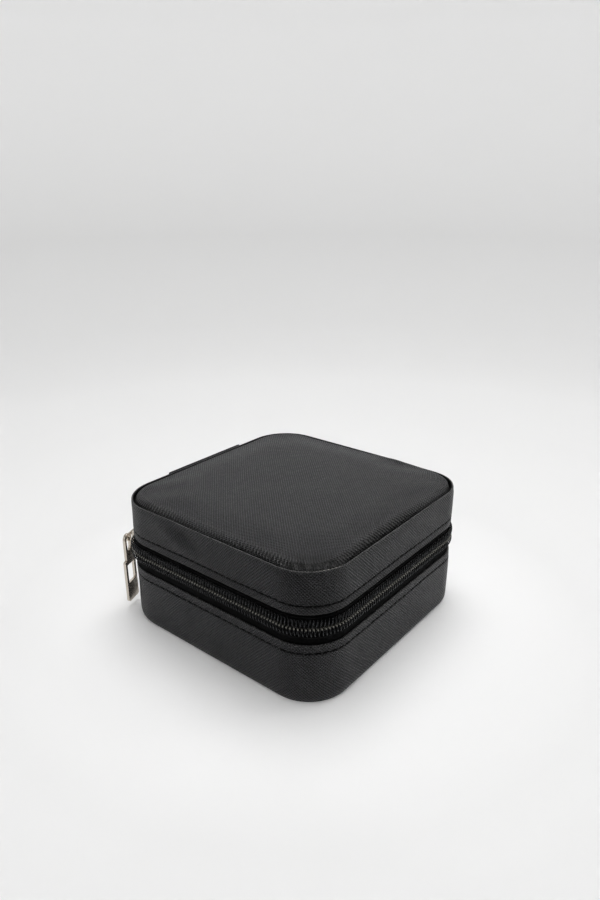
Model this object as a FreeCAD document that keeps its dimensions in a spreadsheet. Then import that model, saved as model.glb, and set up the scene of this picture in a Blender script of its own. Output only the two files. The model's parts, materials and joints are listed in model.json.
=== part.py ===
"""Square zip-round jewellery case, 100 x 100 mm, made as a parametric FreeCAD document.

Row frame, in millimetres: the origin is the centre of the underside, X runs along the
front, +Y points to the hinge at the rear, and +Z is up. The case is closed.
Every wall piece follows one outline, a square with round corners, at its own inset.
"""
import FreeCAD, Part

import math
import os

import Sketcher

DOC = FreeCAD.newDocument("jewellery_case")

# ---------------------------------------------------------------- driving dimensions
DIMENSIONS = {
    # outline and heights
    "case_half": 50.0,
    "corner_radius": 17.0,
    "base_top": 23.5,
    "parting_height": 30.2,
    "lid_bottom": 35.3,
    "rim_top": 51.2,
    "cover_low": 0.4,
    "fit_gap": 0.05,
    # leather, padding, frame and lining, from the outside in
    "leather_thick": 0.75,
    "tape_inset": 0.8,
    "tape_thick": 0.45,
    "tape_seam": 4.7,
    "padding_inner_inset": 2.45,
    "frame_inset": 2.5,
    "frame_thick": 1.8,
    "lining_inset": 4.35,
    "lining_thick": 0.6,
    "base_frame_top": 29.8,
    # floor of the base
    "bottom_panel_thick": 0.8,
    "bottom_panel_inset": 0.8,
    "floor_board_thick": 1.6,
    "floor_lining_thick": 0.7,
    # top of the lid
    "ceiling_low": 46.6,
    "ceiling_thick": 1.7,
    "top_board_low": 48.5,
    "top_board_thick": 1.5,
    "top_board_inset": 2.1,
    "top_foam_thick": 1.9,
    "top_leather_inset": 1.35,
    "top_leather_high": 52.6,
    "top_leather_round": 1.6,
    # zip
    "coil_proud": 0.9,
    "coil_row_height": 3.0,
    "coil_gap": 0.4,
    "zip_end_half": 21.3,
    "in_slider_low_x": -46.4,
    "in_slider_high_x": -33.6,
    # hinge strap
    "strap_half": 21.0,
    "strap_low": 3.0,
    "strap_high": 51.4,
    "strap_thick": 1.1,
    # slider, in radii about the rear-left corner's centre
    "slider_angle": 22.0,
    "slider_arc": 30.0,
    "slider_half_height": 4.0,
    "slider_plate_thick": 1.0,
    "slider_lip_thick": 0.7,
    "slider_web_thick": 0.3,
    "coil_clearance": 0.1,
    "lip_clearance": 0.15,
    # bail and pull
    "bail_half": 4.9,
    "bail_high": 22.9,
    "bail_foot": 18.35,
    "bail_thick": 1.0,
    "bail_width": 1.8,
    "bail_inner_round": 0.8,
    "bail_outer_round": 1.6,
    "pull_near": 20.45,
    "pull_thick": 1.3,
    "pull_eye_radius": 1.35,
    "pull_loop_radius": 2.5,
    "pull_eye_drop": 3.3,
    "pull_neck_drop": 8.8,
    "pull_length": 27.3,
    "pull_half_width": 3.8,
    "pull_window_half": 2.5,
    "pull_window_drop": 10.8,
    "pull_window_height": 8.2,
    "pull_edge_round": 0.25,
    # inside of the base
    "partition_y": -2.0,
    "partition_thick": 2.4,
    "partition_top": 26.0,
    "divider_x": 15.0,
    "divider_thick": 2.0,
    "divider_top": 25.0,
    "divider_clearance": 0.35,
    "roll_width": 9.7,
    "roll_pitch": 10.3,
    "roll_height": 20.5,
    "roll_clearance": 0.3,
    "roll_front_y": -44.6,
    # inside of the lid
    "hook_strip_half": 34.0,
    "hook_strip_front": -44.0,
    "hook_strip_depth": 4.5,
    "hook_strip_low": 44.9,
    "tab_spacing": 24.0,
    "tab_half_width": 4.0,
    "tab_root_y": -42.0,
    "tab_tip_y": -25.5,
    "tab_low": 43.5,
    "tab_thick": 1.1,
    "snap_y": -29.5,
    "stud_radius": 2.2,
    "cap_radius": 3.0,
    "cap_thick": 1.1,
    "pocket_half": 41.0,
    "pocket_front_y": 4.0,
    "pocket_rear_y": 41.0,
    "pocket_low": 40.4,
    "pocket_sheet": 1.0,
    "elastic_depth": 3.0,
    "elastic_height": 1.6,
    # stitching
    "stitch_pitch": 3.0,
    "stitch_length": 2.2,
    "stitch_thread": 0.5,
    "base_stitch_height": 20.3,
    "lid_stitch_height": 38.6,
}

SHEET = DOC.addObject("Spreadsheet::Sheet", "dims")
for row, (alias, value) in enumerate(DIMENSIONS.items(), start=1):
    SHEET.set(f"A{row}", str(value))
    SHEET.setAlias(f"A{row}", alias)
DOC.recompute()

# ------------------------------------------------------ expressions used in many places
TAPE_INNER = "(dims.tape_inset + dims.tape_thick)"
PADDING_AT_TAPE = f"({TAPE_INNER} + dims.fit_gap)"
FRAME_INNER = "(dims.frame_inset + dims.frame_thick)"
LINING_INNER = "(dims.lining_inset + dims.lining_thick)"
FLOOR_BOARD_LOW = "(dims.bottom_panel_thick + dims.fit_gap)"
FRAME_LOW = f"({FLOOR_BOARD_LOW} + dims.floor_board_thick + dims.fit_gap)"
INNER_FLOOR = f"({FRAME_LOW} + dims.floor_lining_thick + dims.fit_gap)"
HALF_GAP = "(dims.coil_gap / 2)"
LOWER_TAPE_LOW = "(dims.base_top - dims.tape_seam)"
UPPER_TAPE_HIGH = "(dims.lid_bottom + dims.tape_seam)"
CORNER_CENTRE = "(dims.case_half - dims.corner_radius)"
COIL_BACK = "(dims.tape_inset - 0.02)"

PARTS = {}


def value(expression):
    """Number that an expression of sheet values stands for."""
    return float(SHEET.evalExpression(expression.replace("dims.", "")))


# --------------------------------------------------------------------- shared builders
def new_body(node):
    body = DOC.addObject("PartDesign::Body", node)
    body.Label = node
    PARTS[node] = body
    return body


def new_sketch(body, name, offset="0", plane_role="XY_Plane"):
    """Sketch on one of the body's own origin planes, moved along its normal."""
    sketch = body.newObject("Sketcher::SketchObject", f"{body.Name}_{name}")
    plane = next(item for item in body.Origin.OriginFeatures if item.Role == plane_role)
    sketch.AttachmentSupport = [(plane, "")]
    sketch.MapMode = "FlatFace"
    sketch.setExpression("AttachmentOffset.Base.z", offset)
    return sketch


def constrain(sketch, name, kind, *arguments, expression):
    """Dimension whose size is bound to the sheet."""
    index = sketch.addConstraint(Sketcher.Constraint(kind, *arguments, value(expression)))
    sketch.renameConstraint(index, name)
    sketch.setExpression(f"Constraints.{name}", expression)


def add_rounded_square(sketch, tag, inset):
    """The case's outline moved inwards by an inset, its corners staying concentric."""
    half = value(f"dims.case_half - {inset}")
    radius = value(f"dims.corner_radius - {inset}")
    centre = half - radius
    lines = []
    arcs = []
    for quarter in range(4):
        turn = quarter * math.pi / 2

        def spin(x, y):
            return FreeCAD.Vector(
                x * math.cos(turn) - y * math.sin(turn), x * math.sin(turn) + y * math.cos(turn), 0
            )

        side = Part.LineSegment(spin(-centre, -half), spin(centre, -half))
        circle = Part.Circle(spin(centre, -centre), FreeCAD.Vector(0, 0, 1), radius)
        corner = Part.ArcOfCircle(circle, turn - math.pi / 2, turn)
        lines.append(sketch.addGeometry(side))
        arcs.append(sketch.addGeometry(corner))
    for quarter in range(4):
        following = (quarter + 1) % 4
        sketch.addConstraint(Sketcher.Constraint("Tangent", lines[quarter], 2, arcs[quarter], 1))
        sketch.addConstraint(Sketcher.Constraint("Tangent", arcs[quarter], 2, lines[following], 1))
        direction = "Horizontal" if quarter % 2 == 0 else "Vertical"
        sketch.addConstraint(Sketcher.Constraint(direction, lines[quarter]))
    for quarter in range(3):
        sketch.addConstraint(Sketcher.Constraint("Equal", arcs[quarter], arcs[quarter + 1]))
    sketch.addConstraint(Sketcher.Constraint("Symmetric", arcs[0], 3, arcs[2], 3, -1, 1))
    half_expression = f"dims.case_half - {inset}"
    constrain(sketch, f"{tag}_x", "DistanceX", -1, 1, lines[1], 1, expression=half_expression)
    constrain(sketch, f"{tag}_y", "DistanceY", -1, 1, lines[2], 1, expression=half_expression)
    radius_expression = f"dims.corner_radius - {inset}"
    constrain(sketch, f"{tag}_r", "Radius", arcs[0], expression=radius_expression)


def add_rectangle(sketch, tag, x_low, x_high, y_low, y_high):
    """Rectangle between two expressions each way; the lower bounds are placed by size."""
    corners = [
        (value(x_low), value(y_low)),
        (value(x_high), value(y_low)),
        (value(x_high), value(y_high)),
        (value(x_low), value(y_high)),
    ]
    edges = []
    for index in range(4):
        start = FreeCAD.Vector(*corners[index], 0)
        finish = FreeCAD.Vector(*corners[(index + 1) % 4], 0)
        edges.append(sketch.addGeometry(Part.LineSegment(start, finish)))
    for index in range(4):
        following = edges[(index + 1) % 4]
        sketch.addConstraint(Sketcher.Constraint("Coincident", edges[index], 2, following, 1))
        direction = "Horizontal" if index % 2 == 0 else "Vertical"
        sketch.addConstraint(Sketcher.Constraint(direction, edges[index]))
    for name, kind, line, bound in (
        ("x0", "DistanceX", 3, x_low),
        ("x1", "DistanceX", 1, x_high),
        ("y0", "DistanceY", 0, y_low),
        ("y1", "DistanceY", 2, y_high),
    ):
        constrain(sketch, f"{tag}_{name}", kind, -1, 1, edges[line], 1, expression=bound)


def add_polygon(sketch, tag, points):
    """Closed outline through points given as pairs of expressions."""
    numbers = [FreeCAD.Vector(value(x), value(y), 0) for x, y in points]
    edges = []
    for index, start in enumerate(numbers):
        finish = numbers[(index + 1) % len(numbers)]
        edges.append(sketch.addGeometry(Part.LineSegment(start, finish)))
    for index, edge in enumerate(edges):
        following = edges[(index + 1) % len(edges)]
        sketch.addConstraint(Sketcher.Constraint("Coincident", edge, 2, following, 1))
    for index, (x, y) in enumerate(points):
        constrain(sketch, f"{tag}_x{index}", "DistanceX", -1, 1, edges[index], 1, expression=x)
        constrain(sketch, f"{tag}_y{index}", "DistanceY", -1, 1, edges[index], 1, expression=y)


def pad(body, sketch, length, midplane=False):
    feature = body.newObject("PartDesign::Pad", f"{sketch.Name}_pad")
    feature.Profile = sketch
    feature.setExpression("Length", length)
    feature.Midplane = midplane
    body.Tip = feature
    return feature


def pocket(body, sketch, length="300", midplane=True, upwards=False):
    """Cut that must take material away."""
    DOC.recompute()
    before = body.Shape.Volume
    feature = body.newObject("PartDesign::Pocket", f"{sketch.Name}_pocket")
    feature.Profile = sketch
    feature.setExpression("Length", length)
    feature.Midplane = midplane
    feature.Reversed = upwards
    body.Tip = feature
    DOC.recompute()
    if not body.Shape.Volume < before:
        raise RuntimeError(f"{feature.Name} takes nothing away")
    return feature


def fillet(body, radius, wanted):
    """Round the edges of the body that a test picks out."""
    DOC.recompute()
    base = body.Tip
    names = [f"Edge{n}" for n, edge in enumerate(base.Shape.Edges, start=1) if wanted(edge)]
    feature = body.newObject("PartDesign::Fillet", f"{body.Name}_fillet")
    feature.Base = (base, names)
    feature.setExpression("Radius", radius)
    body.Tip = feature
    return feature


def flat_at(height):
    """Test for edges lying wholly at one height."""

    def wanted(edge):
        box = edge.BoundBox
        return abs(box.ZMin - height) < 1e-4 and abs(box.ZMax - height) < 1e-4

    return wanted


def plate(node, inset, low, thickness):
    """Flat sheet of the case's outline."""
    body = new_body(node)
    sketch = new_sketch(body, "outline", low)
    add_rounded_square(sketch, "outer", inset)
    pad(body, sketch, thickness)
    return body


def ring(node, outer, inner, low, high):
    """Upright wall between two insets and two heights."""
    body = new_body(node)
    sketch = new_sketch(body, "wall", low)
    add_rounded_square(sketch, "outer", outer)
    add_rounded_square(sketch, "inner", inner)
    pad(body, sketch, f"{high} - {low}")
    return body


def cut_rear(body, tag, x_low, x_high):
    """Take a stretch out of the rear wall."""
    sketch = new_sketch(body, tag)
    add_rectangle(sketch, tag, x_low, x_high, "5", "dims.case_half + 10")
    pocket(body, sketch)


def block(node, x_low, x_high, y_low, y_high, low, high):
    body = new_body(node)
    sketch = new_sketch(body, "foot", low)
    add_rectangle(sketch, "foot", x_low, x_high, y_low, y_high)
    pad(body, sketch, f"{high} - {low}")
    return body


# -------------------------------------------------------------------- base of the case
def build_base():
    plate("base_bottom_panel", "dims.bottom_panel_inset", "0", "dims.bottom_panel_thick")
    plate("base_floor_board", "dims.frame_inset", FLOOR_BOARD_LOW, "dims.floor_board_thick")
    plate("base_floor_lining", "dims.lining_inset", FRAME_LOW, "dims.floor_lining_thick")

    cover = ring("base_cover", "0", "dims.leather_thick", "dims.cover_low", "dims.base_top")
    half = value("dims.case_half")
    lowest = flat_at(value("dims.cover_low"))
    fillet(cover, "dims.leather_thick * 0.9", lambda edge: lowest(edge) and on_outline(edge, half))

    padding = ring(
        "base_padding", "dims.tape_inset", "dims.padding_inner_inset", FLOOR_BOARD_LOW, "dims.base_top"
    )
    rebate = new_sketch(padding, "rebate", LOWER_TAPE_LOW + " - dims.fit_gap")
    add_rounded_square(rebate, "outside", "(-5)")
    add_rounded_square(rebate, "inside", PADDING_AT_TAPE)
    pocket(padding, rebate, "dims.tape_seam + 1", midplane=False, upwards=True)

    ring("base_frame", "dims.frame_inset", FRAME_INNER, FRAME_LOW, "dims.base_frame_top")
    ring("base_lining", "dims.lining_inset", LINING_INNER, INNER_FLOOR, "dims.base_frame_top")


def on_outline(edge, half):
    """Whether an edge lies on the outline that reaches out to the given half width."""
    radius = value("dims.corner_radius")
    centre = half - radius
    point = edge.valueAt((edge.FirstParameter + edge.LastParameter) / 2)
    beyond_x = max(abs(point.x) - centre, 0)
    beyond_y = max(abs(point.y) - centre, 0)
    return abs(math.hypot(beyond_x, beyond_y) - radius) < 1e-3


def build_base_inserts():
    """Partition, two loose dividers and four ring rolls."""
    wall = f"(dims.case_half - {LINING_INNER})"
    partition_rear = "(dims.partition_y + dims.partition_thick / 2)"
    partition_front = "(dims.partition_y - dims.partition_thick / 2)"
    block(
        "centre_partition",
        f"-({wall} - dims.fit_gap)", f"{wall} - dims.fit_gap",
        partition_front, partition_rear,
        INNER_FLOOR, "dims.partition_top",
    )
    for side, sign in (("left", -1), ("right", 1)):
        middle = f"({sign} * dims.divider_x)"
        block(
            f"divider_{side}",
            f"{middle} - dims.divider_thick / 2", f"{middle} + dims.divider_thick / 2",
            f"{partition_rear} + dims.divider_clearance", f"{wall} - dims.divider_clearance",
            f"{INNER_FLOOR}", "dims.divider_top",
        )
    for number in range(4):
        build_ring_roll(number)


def build_ring_roll(number):
    """Foam roll with a round top, trimmed to the corners of the lining."""
    body = new_body(f"ring_roll_{number + 1}")
    sketch = new_sketch(body, "section", plane_role="YZ_Plane")
    front = f"(dims.roll_front_y + {number} * dims.roll_pitch)"
    rear = f"({front} + dims.roll_width)"
    middle = f"({front} + dims.roll_width / 2)"
    shoulder = f"({INNER_FLOOR} + dims.roll_height - dims.roll_width / 2)"
    points = [(front, shoulder), (front, INNER_FLOOR), (rear, INNER_FLOOR), (rear, shoulder)]
    numbers = [FreeCAD.Vector(value(y), value(z), 0) for y, z in points]
    lines = [
        sketch.addGeometry(Part.LineSegment(numbers[index], numbers[index + 1]))
        for index in range(3)
    ]
    centre = FreeCAD.Vector(value(middle), value(shoulder), 0)
    circle = Part.Circle(centre, FreeCAD.Vector(0, 0, 1), value("dims.roll_width / 2"))
    crown = sketch.addGeometry(Part.ArcOfCircle(circle, 0, math.pi))
    sketch.addConstraint(Sketcher.Constraint("Coincident", lines[0], 2, lines[1], 1))
    sketch.addConstraint(Sketcher.Constraint("Coincident", lines[1], 2, lines[2], 1))
    sketch.addConstraint(Sketcher.Constraint("Tangent", lines[2], 2, crown, 1))
    sketch.addConstraint(Sketcher.Constraint("Tangent", crown, 2, lines[0], 1))
    sketch.addConstraint(Sketcher.Constraint("Horizontal", lines[1]))
    sketch.addConstraint(Sketcher.Constraint("Vertical", lines[0]))
    constrain(sketch, "front", "DistanceX", -1, 1, lines[1], 1, expression=front)
    constrain(sketch, "floor", "DistanceY", -1, 1, lines[1], 1, expression=INNER_FLOOR)
    constrain(sketch, "rear", "DistanceX", -1, 1, lines[1], 2, expression=rear)
    constrain(sketch, "shoulder", "DistanceY", -1, 1, lines[2], 2, expression=shoulder)
    pad(body, sketch, f"2 * (dims.case_half - {LINING_INNER} - dims.roll_clearance)", midplane=True)
    trim = new_sketch(body, "trim")
    add_rounded_square(trim, "outside", "(-10)")
    add_rounded_square(trim, "inside", f"({LINING_INNER} + dims.roll_clearance)")
    if number == 0:
        pocket(body, trim)
    else:
        body.removeObject(trim)
        DOC.removeObject(trim.Name)


# --------------------------------------------------------------------------------- lid
def build_lid():
    cover = ring("lid_cover", "0", "dims.leather_thick", "dims.lid_bottom", "dims.rim_top")
    half = value("dims.case_half")
    highest = flat_at(value("dims.rim_top"))
    fillet(cover, "dims.leather_thick * 0.4", lambda edge: highest(edge) and on_outline(edge, half))

    board_top = "(dims.top_board_low - dims.fit_gap)"
    padding = ring(
        "lid_padding", "dims.tape_inset", "dims.padding_inner_inset", "dims.lid_bottom", board_top
    )
    rebate = new_sketch(padding, "rebate", "dims.lid_bottom - 1")
    add_rounded_square(rebate, "outside", "(-5)")
    add_rounded_square(rebate, "inside", PADDING_AT_TAPE)
    pocket(padding, rebate, "dims.tape_seam + 1 + dims.fit_gap", midplane=False, upwards=True)

    ring("lid_frame", "dims.frame_inset", FRAME_INNER, "dims.lid_bottom", board_top)
    ring("lid_lining", "dims.lining_inset", LINING_INNER, "dims.lid_bottom", "dims.ceiling_low - dims.fit_gap")
    plate("lid_ceiling", "dims.lining_inset", "dims.ceiling_low", "dims.ceiling_thick")
    plate("lid_top_board", "dims.top_board_inset", "dims.top_board_low", "dims.top_board_thick")
    foam_low = "(dims.top_board_low + dims.top_board_thick + dims.fit_gap)"
    plate("lid_top_foam", "dims.top_board_inset", foam_low, "dims.top_foam_thick")
    build_top_leather(f"{foam_low} + dims.top_foam_thick")


def build_top_leather(foam_high):
    """Leather wrapped over the foam and down the sides of the board."""
    body = plate(
        "lid_top_leather",
        "dims.top_leather_inset", "dims.top_board_low", "dims.top_leather_high - dims.top_board_low",
    )
    fillet(body, "dims.top_leather_round", flat_at(value("dims.top_leather_high")))
    hollow = new_sketch(body, "hollow", "dims.top_board_low")
    add_rounded_square(hollow, "inside", "(dims.top_board_inset - dims.fit_gap)")
    depth = f"{foam_high} + dims.fit_gap - dims.top_board_low"
    pocket(body, hollow, depth, midplane=False, upwards=True)


def build_lid_inserts():
    """Necklace tabs with their snaps, and the gathered pocket."""
    under_ceiling = "(dims.ceiling_low - dims.fit_gap)"
    strip_rear = "(dims.hook_strip_front + dims.hook_strip_depth)"
    block(
        "hook_strip",
        "-dims.hook_strip_half", "dims.hook_strip_half",
        "dims.hook_strip_front", strip_rear,
        "dims.hook_strip_low", under_ceiling,
    )
    tab_high = "(dims.tab_low + dims.tab_thick)"
    studs = new_body("snap_studs")
    stud_sketch = new_sketch(studs, "feet", f"{tab_high} + dims.fit_gap")
    for number in range(3):
        middle = f"({number - 1} * dims.tab_spacing)"
        tab = block(
            f"necklace_tab_{number + 1}",
            f"{middle} - dims.tab_half_width", f"{middle} + dims.tab_half_width",
            "dims.tab_root_y", "dims.tab_tip_y",
            "dims.tab_low", tab_high,
        )
        tip = value("dims.tab_tip_y")
        fillet(tab, "dims.tab_half_width * 0.95", lambda edge: upright_at(edge, tip))
        cap = new_body(f"snap_cap_{number + 1}")
        cap_sketch = new_sketch(cap, "face", "dims.tab_low - dims.fit_gap - dims.cap_thick")
        add_circle(cap_sketch, "cap", middle, "dims.snap_y", "dims.cap_radius")
        pad(cap, cap_sketch, "dims.cap_thick")
        fillet(cap, "dims.cap_thick * 0.6", flat_at(value("dims.tab_low - dims.fit_gap - dims.cap_thick")))
        add_circle(stud_sketch, f"stud{number}", middle, "dims.snap_y", "dims.stud_radius")
    pad_studs(studs, stud_sketch, f"{under_ceiling} - {tab_high} - dims.fit_gap")

    pocket_top = under_ceiling
    body = block(
        "lid_pocket",
        "-dims.pocket_half", "dims.pocket_half",
        "dims.pocket_front_y", "dims.pocket_rear_y",
        "dims.pocket_low", pocket_top,
    )
    rear = value("dims.pocket_rear_y")
    fillet(body, "7", lambda edge: upright_at(edge, rear))
    room = new_sketch(body, "room", "dims.pocket_low + dims.pocket_sheet")
    add_rectangle(
        room, "room",
        "-(dims.pocket_half - dims.pocket_sheet)", "dims.pocket_half - dims.pocket_sheet",
        "dims.pocket_front_y - 5", "dims.pocket_rear_y - dims.pocket_sheet - 4",
    )
    pocket(body, room, "20", midplane=False, upwards=True)
    hem_rear = "(dims.pocket_front_y - dims.fit_gap)"
    block(
        "pocket_elastic",
        "-dims.pocket_half", "dims.pocket_half",
        f"{hem_rear} - dims.elastic_depth", hem_rear,
        "dims.pocket_low", "dims.pocket_low + dims.elastic_height",
    )


def upright_at(edge, y):
    """Whether an edge stands upright on the plane at y."""
    box = edge.BoundBox
    return box.ZLength > 0.5 and abs(box.YMin - y) < 1e-4 and abs(box.YMax - y) < 1e-4


def add_circle(sketch, tag, x, y, radius):
    centre = FreeCAD.Vector(value(x), value(y), 0)
    circle = sketch.addGeometry(Part.Circle(centre, FreeCAD.Vector(0, 0, 1), value(radius)))
    constrain(sketch, f"{tag}_x", "DistanceX", -1, 1, circle, 3, expression=x)
    constrain(sketch, f"{tag}_y", "DistanceY", -1, 1, circle, 3, expression=y)
    constrain(sketch, f"{tag}_r", "Radius", circle, expression=radius)


def pad_studs(body, sketch, length):
    """Three studs are separate solids in one body."""
    body.AllowCompound = True
    pad(body, sketch, length)


# --------------------------------------------------------------------------------- zip
def build_zip():
    coil_low = f"(dims.parting_height - {HALF_GAP} - dims.coil_row_height)"
    lower_edge = f"(dims.parting_height - {HALF_GAP})"
    upper_edge = f"(dims.parting_height + {HALF_GAP})"
    coil_high = f"({upper_edge} + dims.coil_row_height)"
    rows = (
        ("zipper_tape_base", "dims.tape_inset", TAPE_INNER, LOWER_TAPE_LOW, lower_edge),
        ("zipper_coil_base", "(-dims.coil_proud)", COIL_BACK, coil_low, lower_edge),
        ("zipper_tape_lid", "dims.tape_inset", TAPE_INNER, upper_edge, UPPER_TAPE_HIGH),
        ("zipper_coil_lid", "(-dims.coil_proud)", COIL_BACK, upper_edge, coil_high),
    )
    for node, outer, inner, low, high in rows:
        body = ring(node, outer, inner, low, high)
        body.AllowCompound = True
        cut_rear(body, "ends", "-dims.zip_end_half", "dims.zip_end_half")
        if node.endswith("_lid"):
            cut_rear(body, "in_slider", "dims.in_slider_low_x", "dims.in_slider_high_x")
            build_in_slider(f"{node}_in_slider", outer, inner, low, high)


def build_in_slider(node, outer, inner, low, high):
    """The short stretch of the lid's zip that lies inside the slider."""
    body = ring(node, outer, inner, low, high)
    keep = new_sketch(body, "keep")
    reach = "(dims.case_half + 10)"
    add_rectangle(keep, "outside", f"-{reach}", reach, f"-{reach}", reach)
    add_rectangle(
        keep, "inside",
        "dims.in_slider_low_x + dims.fit_gap", "dims.in_slider_high_x - dims.fit_gap",
        "5", "dims.case_half + 5",
    )
    pocket(body, keep)


def build_hinge():
    """Outer leather strap and the fabric strip behind it."""
    face = "(dims.case_half + dims.fit_gap)"
    strap = block(
        "hinge_strap",
        "-dims.strap_half", "dims.strap_half",
        face, f"{face} + dims.strap_thick",
        "dims.strap_low", "dims.strap_high",
    )
    outer = value(f"{face} + dims.strap_thick")
    fillet(strap, "0.4", lambda edge: edge.BoundBox.YMin > outer - 1e-4)
    strip_face = f"(dims.case_half - {TAPE_INNER})"
    block(
        "hinge_inner_strip",
        "-dims.strap_half", "dims.strap_half",
        strip_face, f"{strip_face} + dims.tape_thick",
        LOWER_TAPE_LOW, UPPER_TAPE_HIGH,
    )


# ------------------------------------------------------------------- slider and pull
def place_at_slider(body):
    """Put a body's own Z axis at the corner's centre, its X axis pointing out at the slider."""
    centre = value(CORNER_CENTRE)
    turn = FreeCAD.Rotation(FreeCAD.Vector(0, 0, 1), 90 + value("dims.slider_angle"))
    body.Placement = FreeCAD.Placement(FreeCAD.Vector(-centre, centre, 0), turn)
    body.setExpression("Placement.Base.x", f"-{CORNER_CENTRE}")
    body.setExpression("Placement.Base.y", CORNER_CENTRE)
    body.setExpression("Placement.Rotation.Angle", "90 + dims.slider_angle")


def build_slider():
    """Two curved plates joined by a thin web that runs between the coils."""
    body = new_body("slider_body")
    section = new_sketch(body, "section", plane_role="XZ_Plane")
    plate_thick = "dims.slider_plate_thick"
    outer_in = "(dims.corner_radius + dims.coil_proud + dims.coil_clearance)"
    outer_out = f"({outer_in} + {plate_thick})"
    lip_end = "(dims.corner_radius - dims.tape_inset + dims.lip_clearance)"
    inner_out = f"(dims.corner_radius - {TAPE_INNER} - dims.coil_clearance)"
    inner_in = f"({inner_out} - {plate_thick})"
    low = "(dims.parting_height - dims.slider_half_height)"
    high = "(dims.parting_height + dims.slider_half_height)"
    web_low = "(dims.parting_height - dims.slider_web_thick / 2)"
    web_high = "(dims.parting_height + dims.slider_web_thick / 2)"
    lip_low = f"({low} + dims.slider_lip_thick)"
    lip_high = f"({high} - dims.slider_lip_thick)"
    add_polygon(section, "section", [
        (outer_out, low), (outer_out, high),
        (lip_end, high), (lip_end, lip_high), (outer_in, lip_high), (outer_in, web_high),
        (inner_out, web_high), (inner_out, high), (inner_in, high), (inner_in, low),
        (inner_out, low), (inner_out, web_low), (outer_in, web_low), (outer_in, lip_low),
        (lip_end, lip_low), (lip_end, low),
    ])
    turned = body.newObject("PartDesign::Revolution", "slider_turned")
    turned.Profile = section
    turned.ReferenceAxis = (section, ["V_Axis"])
    turned.setExpression("Angle", "dims.slider_arc")
    turned.Midplane = True
    body.Tip = turned
    place_at_slider(body)


def build_bail():
    """Arch over the slider that the pull hangs on."""
    body = new_body("slider_bail")
    sketch = new_sketch(body, "arch", "dims.parting_height")
    inner = "(dims.bail_half - dims.bail_thick)"
    crown = "(dims.bail_high - dims.bail_thick)"
    foot = "dims.bail_foot"
    add_polygon(sketch, "arch", [
        (foot, "-dims.bail_half"), ("dims.bail_high", "-dims.bail_half"),
        ("dims.bail_high", "dims.bail_half"), (foot, "dims.bail_half"),
        (foot, inner), (crown, inner), (crown, f"-{inner}"), (foot, f"-{inner}"),
    ])
    pad(body, sketch, "dims.bail_width", midplane=True)
    for radius, reach in (("dims.bail_outer_round", "dims.bail_high"), ("dims.bail_inner_round", crown)):
        at = value(reach)
        fillet(body, radius, lambda edge: standing_at_x(edge, at))
    place_at_slider(body)


def standing_at_x(edge, x):
    """Whether an edge runs straight up at one x of the body's own axes."""
    box = edge.BoundBox
    upright = box.ZLength > 0.5 and box.YLength < 1e-4
    return upright and abs(box.XMin - x) < 1e-4 and abs(box.XMax - x) < 1e-4


def build_pull():
    """Flat pull with an eye, a neck and a windowed plate, hanging on the bail's leg."""
    body = new_body("pull_tab")
    sketch = new_sketch(body, "outline", "dims.pull_near", plane_role="YZ_Plane")
    leg = "(dims.bail_half - dims.bail_thick / 2)"
    eye = "dims.parting_height"
    neck_low = f"({eye} - dims.pull_neck_drop)"
    plate_low = f"({eye} - dims.pull_length)"
    loop = "dims.pull_loop_radius"
    half = "dims.pull_half_width"
    points = [
        (f"{leg} - {loop}", eye), (f"{leg} - {loop}", neck_low), (f"{leg} - {half}", neck_low),
        (f"{leg} - {half}", plate_low), (f"{leg} + {half}", plate_low), (f"{leg} + {half}", neck_low),
        (f"{leg} + {loop}", neck_low), (f"{leg} + {loop}", eye),
    ]
    add_open_outline_with_cap(sketch, points, leg, eye, loop)
    window_high = f"({eye} - dims.pull_window_drop)"
    add_rectangle(
        sketch, "window",
        f"{leg} - dims.pull_window_half", f"{leg} + dims.pull_window_half",
        f"{window_high} - dims.pull_window_height", window_high,
    )
    add_eye(sketch, leg, eye)
    pad(body, sketch, "dims.pull_thick")
    round_pull(body)
    place_at_slider(body)


def add_open_outline_with_cap(sketch, points, x, y, radius):
    """Straight outline closed over its top by a half circle."""
    numbers = [FreeCAD.Vector(value(a), value(b), 0) for a, b in points]
    lines = [
        sketch.addGeometry(Part.LineSegment(numbers[index], numbers[index + 1]))
        for index in range(len(numbers) - 1)
    ]
    circle = Part.Circle(FreeCAD.Vector(value(x), value(y), 0), FreeCAD.Vector(0, 0, 1), value(radius))
    cap = sketch.addGeometry(Part.ArcOfCircle(circle, 0, math.pi))
    for index in range(len(lines) - 1):
        sketch.addConstraint(Sketcher.Constraint("Coincident", lines[index], 2, lines[index + 1], 1))
    sketch.addConstraint(Sketcher.Constraint("Coincident", lines[-1], 2, cap, 1))
    sketch.addConstraint(Sketcher.Constraint("Coincident", cap, 2, lines[0], 1))
    for index, (a, b) in enumerate(points[1:-1], start=1):
        constrain(sketch, f"pull_x{index}", "DistanceX", -1, 1, lines[index], 1, expression=a)
        constrain(sketch, f"pull_y{index}", "DistanceY", -1, 1, lines[index], 1, expression=b)
    constrain(sketch, "cap_x", "DistanceX", -1, 1, cap, 3, expression=x)
    constrain(sketch, "cap_y", "DistanceY", -1, 1, cap, 3, expression=y)
    constrain(sketch, "cap_r", "Radius", cap, expression=radius)
    constrain(sketch, "cap_start", "DistanceY", -1, 1, cap, 1, expression=y)
    constrain(sketch, "cap_end", "DistanceY", -1, 1, cap, 2, expression=y)


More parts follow.
